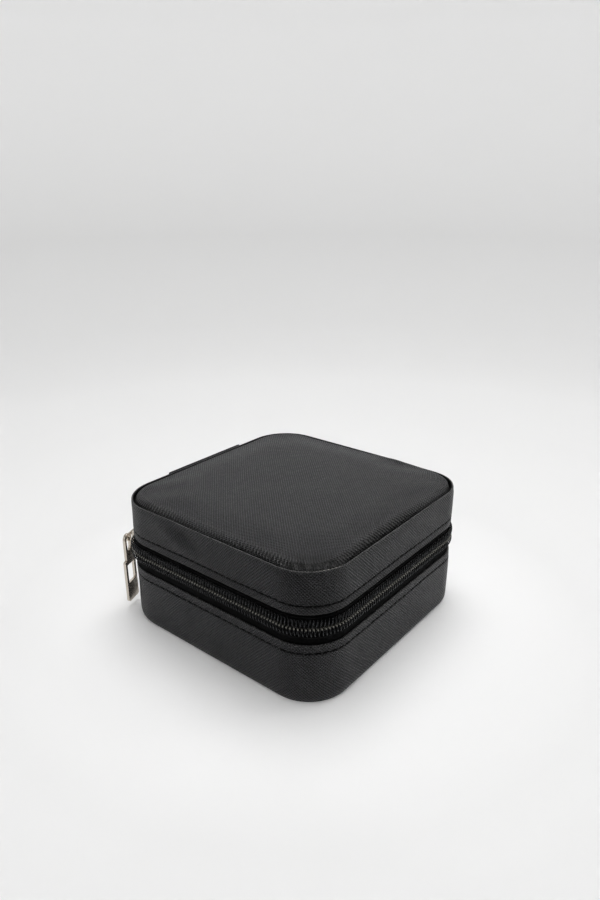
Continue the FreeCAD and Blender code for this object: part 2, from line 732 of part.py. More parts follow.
def add_eye(sketch, x, y):
    """Long round-ended eye; its upper end is centred on the bail's leg."""
    radius = value("dims.pull_eye_radius")
    drop = value("dims.pull_eye_drop")
    top = FreeCAD.Vector(value(x), value(y), 0)
    low = FreeCAD.Vector(value(x), value(y) - drop, 0)
    up = FreeCAD.Vector(0, 0, 1)
    across = FreeCAD.Vector(radius, 0, 0)
    upper = sketch.addGeometry(Part.ArcOfCircle(Part.Circle(top, up, radius), 0, math.pi))
    left = sketch.addGeometry(Part.LineSegment(top - across, low - across))
    lower = sketch.addGeometry(Part.ArcOfCircle(Part.Circle(low, up, radius), math.pi, 2 * math.pi))
    right = sketch.addGeometry(Part.LineSegment(low + across, top + across))
    for first, second in ((upper, left), (left, lower), (lower, right), (right, upper)):
        sketch.addConstraint(Sketcher.Constraint("Tangent", first, 2, second, 1))
    constrain(sketch, "eye_x", "DistanceX", -1, 1, upper, 3, expression=x)
    constrain(sketch, "eye_y", "DistanceY", -1, 1, upper, 3, expression=y)
    constrain(sketch, "eye_r", "Radius", upper, expression="dims.pull_eye_radius")
    constrain(sketch, "eye_drop", "DistanceY", lower, 3, upper, 3, expression="dims.pull_eye_drop")
    sketch.addConstraint(Sketcher.Constraint("Vertical", left))


def round_pull(body):
    """Soften the plate's corners, then the rims of both faces."""
    eye = value("dims.parting_height")
    low = eye - value("dims.pull_length")
    neck = eye - value("dims.pull_neck_drop")

    def corner_of_plate(edge):
        box = edge.BoundBox
        across = box.XLength > 0.5 and box.ZLength < 1e-4 and box.YLength < 1e-4
        outer = abs(abs(box.YMin - value("dims.bail_half - dims.bail_thick / 2")) - value("dims.pull_half_width"))
        return across and outer < 1e-3 and (abs(box.ZMin - low) < 1e-3 or abs(box.ZMin - neck) < 1e-3)

    fillet(body, "1", corner_of_plate)
    near = value("dims.pull_near")
    far = value("dims.pull_near + dims.pull_thick")

    def rim_of_face(edge):
        box = edge.BoundBox
        return box.XLength < 1e-4 and (abs(box.XMin - near) < 1e-3 or abs(box.XMin - far) < 1e-3)

    fillet(body, "dims.pull_edge_round", rim_of_face)


# --------------------------------------------------------------------------- stitching
def outline_at(distance, inset):
    """Point and direction on the outline, measured from the middle of the rear side."""
    half = value("dims.case_half") - inset
    radius = value("dims.corner_radius") - inset
    straight = half - radius
    quarter = 2 * straight + radius * math.pi / 2
    side = int((distance + straight) // quarter)
    along = distance + straight - side * quarter
    if along <= 2 * straight:
        local = (straight - along, half)
        heading = math.pi
    else:
        sweep = (along - 2 * straight) / radius
        local = (-straight - radius * math.sin(sweep), straight + radius * math.cos(sweep))
        heading = math.pi + sweep
    turn = side * math.pi / 2
    x = local[0] * math.cos(turn) - local[1] * math.sin(turn)
    y = local[0] * math.sin(turn) + local[1] * math.cos(turn)
    return FreeCAD.Vector(x, y, 0), heading + turn


def build_stitching(node, height):
    """Row of separate stitches round the case, from one edge of the strap to the other."""
    thread = value("dims.stitch_thread")
    length = value("dims.stitch_length")
    inset = -thread / 2 - value("dims.fit_gap") / 2
    half = value("dims.case_half") - inset
    radius = value("dims.corner_radius") - inset
    perimeter = 8 * (half - radius) + 2 * math.pi * radius
    start = value("dims.zip_end_half") + length
    count = int((perimeter - 2 * start) / value("dims.stitch_pitch"))
    pitch = (perimeter - 2 * start) / count
    stitches = []
    for number in range(count + 1):
        point, heading = outline_at(start + number * pitch, inset)
        direction = FreeCAD.Vector(math.cos(heading), math.sin(heading), 0)
        foot = point - direction * (length / 2) + FreeCAD.Vector(0, 0, height)
        stitches.append(Part.makeCylinder(thread / 2, length, foot, direction))
    feature = DOC.addObject("Part::Feature", node)
    feature.Label = node
    feature.Shape = Part.makeCompound(stitches)
    feature.Placement = FreeCAD.Placement()
    PARTS[node] = feature


# -------------------------------------------------------------------------------- main
def check_document():
    for item in DOC.Objects:
        if "Invalid" in item.State or "Error" in item.State:
            raise RuntimeError(f"{item.Name} failed: {item.State}")
    for node, item in PARTS.items():
        if item.Shape.isNull() or not item.Shape.isValid() or not item.Shape.Solids:
            raise RuntimeError(f"{node} has no valid solid")


def export():
    os.makedirs("parts", exist_ok=True)
    for node, item in PARTS.items():
        item.Shape.exportStep(f"parts/{node}.step")
        print(f"{node}: {len(item.Shape.Solids)} solid(s), {item.Shape.Volume:.1f} mm3")


build_base()
build_base_inserts()
build_lid()
build_lid_inserts()
build_zip()
build_hinge()
build_slider()
build_bail()
build_pull()
build_stitching("base_stitching", value("dims.base_stitch_height"))
build_stitching("lid_stitching", value("dims.lid_stitch_height"))
DOC.recompute()
check_document()
export()
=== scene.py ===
"""Looks of the square zip-round jewellery case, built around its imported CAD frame. Units are metres.

The case's walls follow one plan outline, a square with round corners. A place on a wall is given
by its arc length round that outline, from the rear's middle and counter-clockwise, by its inset
from the outline, and by its height.
"""

import json
import math

import bmesh
import bpy
import numpy as np
from mathutils import Matrix, Vector, noise


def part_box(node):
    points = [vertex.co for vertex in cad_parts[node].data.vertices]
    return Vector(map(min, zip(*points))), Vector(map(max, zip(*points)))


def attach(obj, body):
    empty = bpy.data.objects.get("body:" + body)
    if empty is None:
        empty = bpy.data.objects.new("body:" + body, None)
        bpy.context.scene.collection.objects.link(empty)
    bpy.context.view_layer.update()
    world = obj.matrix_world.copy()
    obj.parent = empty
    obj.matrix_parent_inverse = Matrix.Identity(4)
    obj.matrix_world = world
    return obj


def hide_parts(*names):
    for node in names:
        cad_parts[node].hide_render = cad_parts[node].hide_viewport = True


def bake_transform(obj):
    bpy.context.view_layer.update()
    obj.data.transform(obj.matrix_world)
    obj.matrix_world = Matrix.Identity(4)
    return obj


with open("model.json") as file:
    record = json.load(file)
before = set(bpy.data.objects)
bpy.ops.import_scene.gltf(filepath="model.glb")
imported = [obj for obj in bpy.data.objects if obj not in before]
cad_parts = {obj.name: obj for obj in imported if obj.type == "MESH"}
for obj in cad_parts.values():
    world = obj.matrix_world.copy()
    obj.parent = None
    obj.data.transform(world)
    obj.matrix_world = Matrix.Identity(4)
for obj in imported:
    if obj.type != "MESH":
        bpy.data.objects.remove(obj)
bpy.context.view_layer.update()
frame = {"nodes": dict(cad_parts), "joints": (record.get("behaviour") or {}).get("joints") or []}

MM = 0.001
UP = (0.0, 0.0, 1.0)
JOINTS = {joint["name"]: joint for joint in frame["joints"]}
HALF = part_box("base_cover")[1].x
CORNER = HALF - abs(JOINTS["slider_travel"]["pos_m"][0])
STRAIGHT = 2 * (HALF - CORNER)
ARC = CORNER * math.pi / 2
PERIMETER = 4 * (STRAIGHT + ARC)
ZIP_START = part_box("hinge_strap")[1].x + 0.3 * MM
ZIP_END = PERIMETER - ZIP_START
PARTING = JOINTS["lid_hinge"]["pos_m"][2]


# ---- places on the outline
def outline(s, inset):
    """Plan points at arc length s, moved inwards by inset. Both may be arrays."""
    s, inset = np.broadcast_arrays(np.asarray(s, float), np.asarray(inset, float))
    travelled = (s + STRAIGHT / 2) % PERIMETER
    side = np.floor(travelled / (STRAIGHT + ARC)).astype(int) % 4
    along = travelled - side * (STRAIGHT + ARC)
    angle = np.clip((along - STRAIGHT) / CORNER, 0, math.pi / 2)
    radius = CORNER - inset
    x = STRAIGHT / 2 - np.minimum(along, STRAIGHT) - radius * np.sin(angle)
    y = STRAIGHT / 2 + radius * np.cos(angle)
    heading = side * math.pi / 2
    return np.cos(heading) * x - np.sin(heading) * y, np.sin(heading) * x + np.cos(heading) * y


def outline_place(x, y):
    """Arc length and inset of plan points: the inverse of outline()."""
    side = np.where(y >= np.abs(x), 0, np.where(-x > np.abs(y), 1, np.where(-y >= np.abs(x), 2, 3)))
    heading = side * math.pi / 2
    xr = np.cos(heading) * x + np.sin(heading) * y
    yr = np.cos(heading) * y - np.sin(heading) * x
    reach = STRAIGHT / 2
    past = np.clip(np.abs(xr) - reach, 0, None)
    angle = np.arctan2(past, np.maximum(yr - reach, 1e-9))
    along = np.where(past > 0, np.where(xr < 0, STRAIGHT + CORNER * angle, -CORNER * angle), reach - xr)
    inset = np.where(past > 0, CORNER - np.hypot(past, yr - reach), HALF - yr)
    return side * (STRAIGHT + ARC) + along - reach, inset


def bell(distance, width):
    return np.exp(-(distance / width) ** 2)


def ease(value, low, high):
    """0 below low, 1 above high, smooth between."""
    share = np.clip((value - low) / (high - low), 0, 1)
    return share * share * (3 - 2 * share)


def wander(points, scale, seed):
    """Smooth noise from -1 to 1 at each point, the same on every run."""
    shift = Vector((seed * 7.3, seed * 3.1, seed * 5.7))
    return np.array([noise.noise(Vector(p) * scale + shift) for p in points])


# ---- meshes from grids
def mark(mesh, name, values):
    """Gives each vertex a number for the materials to read."""
    attribute = mesh.attributes.new(name, "FLOAT", "POINT")
    attribute.data.foreach_set("value", np.asarray(values, np.float32).ravel())


def mesh_object(name, vertices, faces, uvs=None, wear_and_painted_light=None):
    mesh = bpy.data.meshes.new(name)
    mesh.from_pydata(np.asarray(vertices, float).tolist(), [], faces)
    if uvs is not None:
        layer = mesh.uv_layers.new(name="surface")
        layer.data.foreach_set("uv", np.asarray(uvs, np.float32).ravel())
    # wear_and_painted_light: above 0 for rubbed edges with a painted highlight, below 0 for painted shade
    if wear_and_painted_light is not None:
        mark(mesh, "wear_and_painted_light", wear_and_painted_light)
    mesh.polygons.foreach_set("use_smooth", [True] * len(mesh.polygons))
    mesh.validate()
    mesh.update()
    piece = bpy.data.objects.new(name, mesh)
    bpy.context.scene.collection.objects.link(piece)
    return piece


def grid_faces(rows, columns, close_rows, close_columns, cap, offset=0):
    """Quads of a grid of points, with end caps where its columns close into tubes."""
    row = np.arange(rows if close_rows else rows - 1)[:, None]
    column = np.arange(columns if close_columns else columns - 1)[None, :]
    below, beside = (row + 1) % rows, (column + 1) % columns
    corners = [i * columns + j for i, j in ((row, column), (row, beside), (below, beside), (below, column))]
    faces = (np.stack(corners, -1).reshape(-1, 4) + offset).tolist()
    if cap:
        faces.append((np.arange(columns)[::-1] + offset).tolist())
        faces.append((np.arange(columns) + (rows - 1) * columns + offset).tolist())
    return faces


def grid_uvs(u, v, rows, columns, close_rows, close_columns, cap):
    """One UV per face corner, in metres, that doesn't jump where the grid closes."""
    i = np.arange(rows if close_rows else rows - 1)[:, None]
    j = np.arange(columns if close_columns else columns - 1)[None, :]
    shape = (i.size, j.size)
    steps = [(i, j), (i, j + 1), (i + 1, j + 1), (i + 1, j)]
    uvs = [np.stack([np.broadcast_to(u[a], shape), np.broadcast_to(v[b], shape)], -1) for a, b in steps]
    flat = np.stack(uvs, 2).reshape(-1, 2)
    if cap:
        flat = np.vstack([flat, np.zeros((2 * columns, 2))])
    return flat


def lengths_along(points, closed):
    """Running length along a line of points, with one more entry where it closes."""
    line = np.vstack([points, points[:1]]) if closed else points
    return np.concatenate([[0], np.cumsum(np.linalg.norm(np.diff(line, axis=0), axis=1))])


def rounded_profile(points, rounds=3):
    """Corner cutting of a closed profile of (inset, height, wear_and_painted_light) rows, given in
    millimetres.
    """
    line = np.array(points, float)
    for _ in range(rounds):
        after = np.roll(line, -1, axis=0)
        line = np.stack([0.75 * line + 0.25 * after, 0.25 * line + 0.75 * after], 1).reshape(-1, 3)
    return line


def band(name, profile, start=0.0, end=PERIMETER, step=1.0 * MM, shape=None, rounds=3):
    """A closed profile carried round the outline. shape(s, height) gives how far to push outwards."""
    section = rounded_profile(profile, rounds)
    inset, height, wear_and_painted_light = section[:, 0] * MM, section[:, 1] * MM, section[:, 2]
    closed = end - start > PERIMETER - 1e-6
    count = int(round((end - start) / step))
    s = start + (end - start) * np.arange(count + (0 if closed else 1)) / count
    s_grid, inset_grid = np.meshgrid(s, inset, indexing="ij")
    height_grid = np.broadcast_to(height, s_grid.shape).copy()
    if shape is not None:
        inset_grid = inset_grid - shape(s_grid, height_grid)
    x, y = outline(s_grid, inset_grid)
    points = np.stack([x, y, height_grid], -1)
    rows, columns = s_grid.shape
    u = np.append(s, end)
    v = lengths_along(section[:, :2] * MM, True)
    faces = grid_faces(rows, columns, closed, True, not closed)
    uvs = grid_uvs(u, v, rows, columns, closed, True, not closed)
    return mesh_object(name, points.reshape(-1, 3), faces, uvs, np.broadcast_to(wear_and_painted_light, s_grid.shape))


def tube_points(path, across, radius, sides):
    """Rings round a path. across is a direction, or one per point, that isn't along the path."""
    tangent = np.gradient(path, axis=0)
    tangent /= np.linalg.norm(tangent, axis=1)[:, None]
    first = across - np.sum(across * tangent, axis=1)[:, None] * tangent
    first /= np.linalg.norm(first, axis=1)[:, None]
    second = np.cross(tangent, first)
    angle = 2 * math.pi * np.arange(sides) / sides
    radius = np.broadcast_to(radius, len(path))[:, None, None]
    turn = angle[None, :, None]
    return path[:, None, :] + radius * (np.cos(turn) * first[:, None, :] + np.sin(turn) * second[:, None, :])


def flattened(path, rings, stretch):
    """Rings stretched from their path by a factor per axis."""
    return path[:, None, :] + (rings - path[:, None, :]) * np.array(stretch)


def stitch(path, across, radius, taper=0.4):
    """Rings of one stitch, whose thread thins towards its ends."""
    t = np.linspace(-1, 1, len(path))
    return tube_points(path, across, radius * (1 - taper * np.abs(t) ** 3), 6)


def tubes(name, rings, material):
    """One object from many capped tubes, each an array of rings."""
    vertices, faces, uvs, offset = [], [], [], 0
    for ring in rings:
        rows, columns = ring.shape[:2]
        u = lengths_along(ring[:, 0], False)
        v = lengths_along(ring[0], True)
        faces += grid_faces(rows, columns, False, True, True, offset)
        uvs.append(grid_uvs(u, v, rows, columns, False, True, True))
        vertices.append(ring.reshape(-1, 3))
        offset += rows * columns
    piece = mesh_object(name, np.vstack(vertices), faces, np.vstack(uvs))
    dress(piece, material)
    return piece


def dress(piece, material):
    piece.data.materials.clear()
    piece.data.materials.append(material)


def stand_in(piece, body, *nodes):
    """Fixes a piece to a body, in place of the CAD nodes that it shows."""
    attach(piece, body)
    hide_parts(*nodes)


def finish(piece, material, slot, body, *nodes):
    dress(piece, material)
    stand_in(piece, body, *nodes)


def heights(node):
    """Bottom and top of a node."""
    low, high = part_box(node)
    return low.z, high.z


# ---- materials
class Look:
    """A Principled material and the procedural nodes that feed it."""

    def __init__(self, name, colour, roughness, **sockets):
        self.material = bpy.data.materials.new(name)
        self.material.use_nodes = True
        self.tree = self.material.node_tree
        self.shader = self.tree.nodes["Principled BSDF"]
        self.set("Base Color", (*colour, 1.0))
        self.set("Roughness", roughness)
        for socket, value in sockets.items():
            self.set(socket.replace("_", " "), value)
        self.height = None

    def set(self, socket, value):
        self.shader.inputs[socket].default_value = value

    def node(self, kind, **properties):
        made = self.tree.nodes.new("ShaderNode" + kind)
        for name, value in properties.items():
            setattr(made, name, value)
        return made

    def feed(self, socket, value):
        """Links a node's output to a socket, or sets a plain number there."""
        if isinstance(value, bpy.types.NodeSocket):
            self.tree.links.new(value, socket)
        else:
            socket.default_value = value

    def math(self, operation, first, second=0.0, third=0.0):
        made = self.node("Math", operation=operation)
        for socket, value in zip(made.inputs, (first, second, third)):
            self.feed(socket, value)
        return made.outputs[0]

    def product(self, *factors):
        result = factors[0]
        for factor in factors[1:]:
            result = self.math("MULTIPLY", result, factor)
        return result

    def surface(self):
        """Coordinates along the surface in metres, from the mesh's own map."""
        return self.node("UVMap", uv_map="surface").outputs["UV"]

    def place(self):
        """Coordinates in the piece's own frame, in metres."""
        return self.node("TexCoord").outputs["Object"]

    def turned(self, coordinates, degrees, stretch=(1, 1, 1)):
        made = self.node("Mapping")
        made.inputs["Rotation"].default_value = (0, 0, math.radians(degrees))
        made.inputs["Scale"].default_value = stretch
        self.feed(made.inputs["Vector"], coordinates)
        return made.outputs[0]

    def noise(self, coordinates, scale, detail=2.0, roughness=0.5):
        made = self.node("TexNoise")
        made.inputs["Scale"].default_value = scale
        made.inputs["Detail"].default_value = detail
        made.inputs["Roughness"].default_value = roughness
        self.feed(made.inputs["Vector"], coordinates)
        return made.outputs[0]

    def split(self, coordinates):
        made = self.node("SeparateXYZ")
        self.feed(made.inputs[0], coordinates)
        return made.outputs

    def ridges(self, coordinate, pitch):
        """A smooth wave from 0 to 1 along a coordinate."""
        wave = self.math("SINE", self.product(coordinate, 2 * math.pi / pitch))
        return self.math("MULTIPLY_ADD", wave, 0.5, 0.5)

    def span(self, value, low, high, out_low=0.0, out_high=1.0):
        made = self.node("MapRange")
        for socket, number in zip(made.inputs, (value, low, high, out_low, out_high)):
            self.feed(socket, number)
        return made.outputs[0]

    def mixed(self, factor, first, second):
        """Between two colours, each a node's output or three numbers."""
        made = self.node("Mix", data_type="RGBA")
        self.feed(made.inputs["Factor"], factor)
        for name, value in (("A", first), ("B", second)):
            self.feed(made.inputs[name], value if isinstance(value, bpy.types.NodeSocket) else (*value, 1.0))
        return made.outputs["Result"]

    def coat(self, colour, roughness):
        self.feed(self.shader.inputs["Base Color"], colour)
        self.feed(self.shader.inputs["Roughness"], roughness)

    def bump(self, height, distance):
        """Adds relief, distance metres deep, over what is there already."""
        made = self.node("Bump")
        made.inputs["Distance"].default_value = distance
        self.feed(made.inputs["Height"], height)
        if self.height is not None:
            self.tree.links.new(self.height, made.inputs["Normal"])
        self.height = made.outputs[0]
        self.tree.links.new(self.height, self.shader.inputs["Normal"])


SAFFIANO_PITCH = 0.87 * MM
PUCKER_PITCH = 1.5 * MM


def saffiano_look(name, lead, mapped=True, puckered=False):
    """Black coated leather pressed with two crossed sets of diagonal ridges. lead is the turn, in
    degrees, of the set that stands out more. The wear_and_painted_light attribute is above 0 on
    rubbed edges, which are lightened as wear and as a painted highlight, and below 0 where shade is
    painted: in sewn grooves, in the rim's gap and in the panel's slack corner. Puckered leather is
    drawn over an edge in fine folds, with painted shade in their valleys and painted highlights on
    their ridges."""
    look = Look(name, (0.02, 0.02, 0.021), 0.42, IOR=1.53)
    flat = look.surface() if mapped else look.place()
    sway = look.noise(flat, 120.0, 1.0)
    families = []
    for degrees, scale in ((lead, 2600.0), (-lead, 2300.0)):
        across = look.split(look.turned(flat, degrees))[0]
        bent = look.math("MULTIPLY_ADD", sway, 0.35 * MM, across)
        wave = look.math("POWER", look.ridges(bent, SAFFIANO_PITCH), 1.9)
        broken = look.noise(look.turned(flat, degrees, (1.0, 0.22, 1.0)), scale, 1.0)
        families.append(look.product(wave, look.span(broken, 0.3, 0.7, 0.55, 1.0)))
    patch = look.span(look.noise(flat, 45.0, 1.0), 0.38, 0.62, 0.5, 1.0)
    grain = look.math("MAXIMUM", families[0], look.product(families[1], patch))
    pores = look.noise(flat, 5200.0, 2.0, 0.6)
    wear_and_painted_light = look.node("Attribute", attribute_name="wear_and_painted_light").outputs["Fac"]
    scuffs = look.span(look.noise(flat, 700.0, 2.0), 0.35, 0.62, 0.1, 1.0)
    rubbed_and_highlit = look.product(look.span(wear_and_painted_light, 0.0, 1.0), scuffs)
    painted_shade = look.span(wear_and_painted_light, 0.0, -1.0)
    cloudy = look.span(look.noise(flat, 60.0, 3.0), 0.3, 0.7)
    # Painted shade: the grain's valleys are coloured near black, as if shaded, against its lighter tips.
    shaded_valleys = look.mixed(cloudy, (0.0006, 0.0006, 0.0008), (0.0014, 0.0014, 0.0018))
    tips = look.mixed(cloudy, (0.040, 0.040, 0.046), (0.054, 0.054, 0.057))
    if puckered:
        rubbed_and_highlit, painted_shade = pucker_nodes(look, rubbed_and_highlit, painted_shade)
    body = look.mixed(grain, shaded_valleys, tips)
    # Rubbed edges turn grey, as wear and as a painted highlight.
    body = look.mixed(rubbed_and_highlit, body, (0.115, 0.114, 0.11))
    rough = look.math("MULTIPLY_ADD", look.noise(flat, 380.0, 3.0), 0.14, 0.46)
    # Painted shade: near black in sewn grooves, in the rim's gap, in the slack corner and in pucker valleys.
    look.coat(look.mixed(painted_shade, body, (0.001, 0.001, 0.001)), look.math("MULTIPLY_ADD", grain, -0.24, rough))
    look.bump(grain, 0.36 * MM)
    look.bump(pores, 0.012 * MM)
    return look.material


def pucker_nodes(look, rubbed_and_highlit, painted_shade):
    """Fine folds across a panel's edge: painted shade in black valleys that reach in from the edge, and
    painted highlights on the ridges.
    The mesh gives each point's run along the folds, its distance from the edge and their share."""
    run, depth, share = (look.node("Attribute", attribute_name=name).outputs["Fac"]
                         for name in ("pucker_run", "edge_depth", "pucker_share"))
    comb = look.ridges(run, PUCKER_PITCH)
    valley = look.product(look.math("SUBTRACT", 1.0, comb), share)
    reach = look.math("MULTIPLY_ADD", valley, 3.4 * MM, 0.75 * MM)
    beyond = look.math("SUBTRACT", depth, reach)
    # Painted shade: the valleys turn black out to their reach from the edge.
    dark = look.product(look.span(beyond, 0.35 * MM, -0.35 * MM), look.span(share, 0.1, 0.4))
    zone = look.product(look.span(depth, 0.5 * MM, 1.1 * MM), look.span(depth, 5.0 * MM, 2.6 * MM), share)
    # Painted highlight: the ridges are lightened a little in from the edge.
    light = look.product(zone, look.math("POWER", comb, 2.0), 0.45)
    look.bump(look.product(comb, zone), 0.3 * MM)
    return look.math("MAXIMUM", rubbed_and_highlit, light), look.math("MAXIMUM", painted_shade, dark)


def nylon_look():
    """Glossy black nylon of the zip's coils, with painted highlights in grey on its heads and on the fronts
    of its legs.
    """
    look = Look("coil_nylon", (0.008, 0.008, 0.009), 0.2)
    place = look.place()
    height = look.split(place)[2]
    soft = 0.25 * MM
    base_low, base_high = heights("zipper_coil_base")
    lid_low, lid_high = heights("zipper_coil_lid")

    def between(low, high):
        up = look.span(height, low - soft, low + soft)
        return look.product(up, look.span(height, high + soft, high - soft))

    # Painted highlights: the fronts of both rows' legs are coloured a lighter grey.
    lower_leg_highlight = between(base_low + 0.5 * MM, base_high - 1.3 * MM)
    painted_leg_highlight = look.math("MAXIMUM", lower_leg_highlight, between(lid_low + 1.3 * MM, lid_high - 0.3 * MM))
    clouds = look.noise(place, 300.0, 2.0)
    body = look.mixed(clouds, (0.003, 0.003, 0.0035), (0.006, 0.006, 0.0065))
    body = look.mixed(painted_leg_highlight, body, (0.03, 0.032, 0.034))
    # Painted highlight: a light grey band along the heads of the lower row.
    painted_head_highlight = between(base_high - 0.25 * MM, base_high + 0.25 * MM)
    look.coat(look.mixed(painted_head_highlight, body, (0.23, 0.225, 0.2)),
              look.span(look.noise(place, 900.0, 2.0), 0.3, 0.7, 0.14, 0.3))
    look.bump(look.noise(place, 2500.0, 2.0), 0.01 * MM)
    return look.material


def tape_look():
    """Matt woven polyester tape: fine ribs along the zip crossed by weft threads."""
    look = Look("zip_tape_weave", (0.002, 0.002, 0.0025), 0.9, IOR=1.25, Sheen_Weight=0.03)
    flat = look.surface()
    along, across = look.split(flat)[0], look.split(flat)[1]
    weft = look.ridges(along, 0.42 * MM)
    warp = look.ridges(across, 0.55 * MM)
    weave = look.product(look.math("MULTIPLY_ADD", weft, 0.6, 0.4), warp)
    look.coat(look.mixed(weave, (0.0008, 0.0008, 0.001), (0.005, 0.005, 0.0055)),
              look.span(look.noise(flat, 900.0), 0.3, 0.7, 0.8, 0.95))
    look.bump(weave, 0.12 * MM)
    return look.material


def thread_look():
    """Twisted black sewing thread."""
    look = Look("sewing_thread", (0.002, 0.002, 0.002), 0.7, IOR=1.3)
    turned = look.turned(look.surface(), 35)
    twist = look.ridges(look.split(turned)[0], 0.22 * MM)
    look.coat(look.mixed(twist, (0.0008, 0.0008, 0.001), (0.004, 0.004, 0.0045)),
              look.span(twist, 0.0, 1.0, 0.7, 0.45))
    look.bump(twist, 0.06 * MM)
    return look.material


def nickel_look():
    """Polished nickel plate with a warm cast, faint haze and hairline scratches."""
    look = Look("nickel_plate", (0.62, 0.57, 0.5), 0.2, Metallic=1.0)
    place = look.place()
    haze = look.noise(place, 260.0, 3.0, 0.6)
    look.coat(look.mixed(haze, (0.56, 0.505, 0.44), (0.68, 0.635, 0.57)),
              look.span(haze, 0.3, 0.75, 0.13, 0.32))
    scratches = look.noise(look.turned(place, 20, (1.0, 0.06, 0.3)), 4200.0, 2.0)
    look.bump(scratches, 0.006 * MM)
    look.bump(look.noise(place, 450.0, 1.0), 0.03 * MM)
    return look.material


def velvet_look():
    """Short black velvet pile, with soft clouds where the pile is brushed."""
    look = Look("velvet_pile", (0.012, 0.012, 0.014), 0.95, Sheen_Weight=0.5, Sheen_Roughness=0.4)
    look.set("Sheen Tint", (0.8, 0.8, 0.86, 1.0))
    place = look.place()
    brushed = look.span(look.noise(place, 55.0, 3.0), 0.35, 0.65)
    pile = look.noise(place, 3800.0, 2.0, 0.7)
    tone = look.math("MULTIPLY_ADD", pile, 0.5, look.product(brushed, 0.5))
    look.coat(look.mixed(tone, (0.006, 0.006, 0.008), (0.034, 0.034, 0.038)),
              look.span(brushed, 0.0, 1.0, 0.85, 1.0))
    look.bump(pile, 0.12 * MM)
    look.bump(brushed, 0.15 * MM)
    return look.material


def satin_look():
    """Soft woven pocket cloth with a fine diagonal twill."""
    look = Look("pocket_satin", (0.02, 0.02, 0.023), 0.5, Sheen_Weight=0.25, Sheen_Roughness=0.35)
    flat = look.surface()
    twill = look.ridges(look.split(look.turned(flat, 30))[0], 0.35 * MM)
    cross = look.ridges(look.split(flat)[0], 0.24 * MM)
    weave = look.product(twill, look.math("MULTIPLY_ADD", cross, 0.4, 0.6))
    look.coat(look.mixed(weave, (0.01, 0.01, 0.012), (0.035, 0.035, 0.04)),
              look.span(look.noise(flat, 150.0, 3.0), 0.3, 0.7, 0.4, 0.6))
    look.bump(weave, 0.05 * MM)
    return look.material


def grained_look(name, grain, dark, light, rough, depth):
    """A dry matt surface, coloured and roughened by one grain (scale, detail, turn, stretch)."""
    look = Look(name, light, 0.7)
    scale, detail, turn, stretch = grain
    grain = look.noise(look.turned(look.place(), turn, stretch), scale, *detail)
    look.coat(look.mixed(grain, dark, light), look.span(grain, 0.3, 0.7, *rough))
    look.bump(grain, depth)
    return look.material


def board_look():
    """Pressed greyboard with paper fibres."""
    return grained_look("greyboard", (1800.0, (4.0, 0.7), 15, (1.0, 0.2, 1.0)), (0.3, 0.285, 0.26),
                        (0.5, 0.48, 0.45), (0.82, 0.96), 0.06 * MM)


def plastic_look():
    """Matt black moulded plastic with a fine spark-eroded grain."""
    return grained_look("frame_plastic", (3000.0, (3.0, 0.6), 0, (1.0, 1.0, 1.0)), (0.018, 0.018, 0.018),
                        (0.032, 0.032, 0.033), (0.5, 0.7), 0.03 * MM)


# ---- camera, stage and lights
CAMERA_PLACE = (-0.1947, -0.1612, 0.1669)


def add_camera():
    """A camera 30 degrees above the case's front left corner, aimed a little over it."""
    forward = Vector((0.7215, 0.5875, -0.3665)).normalized()
    right = forward.cross(Vector((0, 0, 1))).normalized()
    up = right.cross(forward)
    turn = Matrix((right, up, -forward)).transposed() @ Matrix.Rotation(math.radians(-0.332), 3, "Z")
    camera = bpy.data.cameras.new("camera")
    camera.sensor_width = 36.0
    camera.lens = 28.04
    camera.clip_start, camera.clip_end = 0.01, 20.0
    holder = bpy.data.objects.new("camera", camera)
    holder.matrix_world = Matrix.Translation(CAMERA_PLACE) @ turn.to_4x4()
    bpy.context.scene.collection.objects.link(holder)
    bpy.context.scene.camera = holder


def revolved(radius, height, angle):
    x, y, z = np.broadcast_arrays(radius * np.cos(angle), radius * np.sin(angle), height)
    return np.stack([x, y, z], -1)


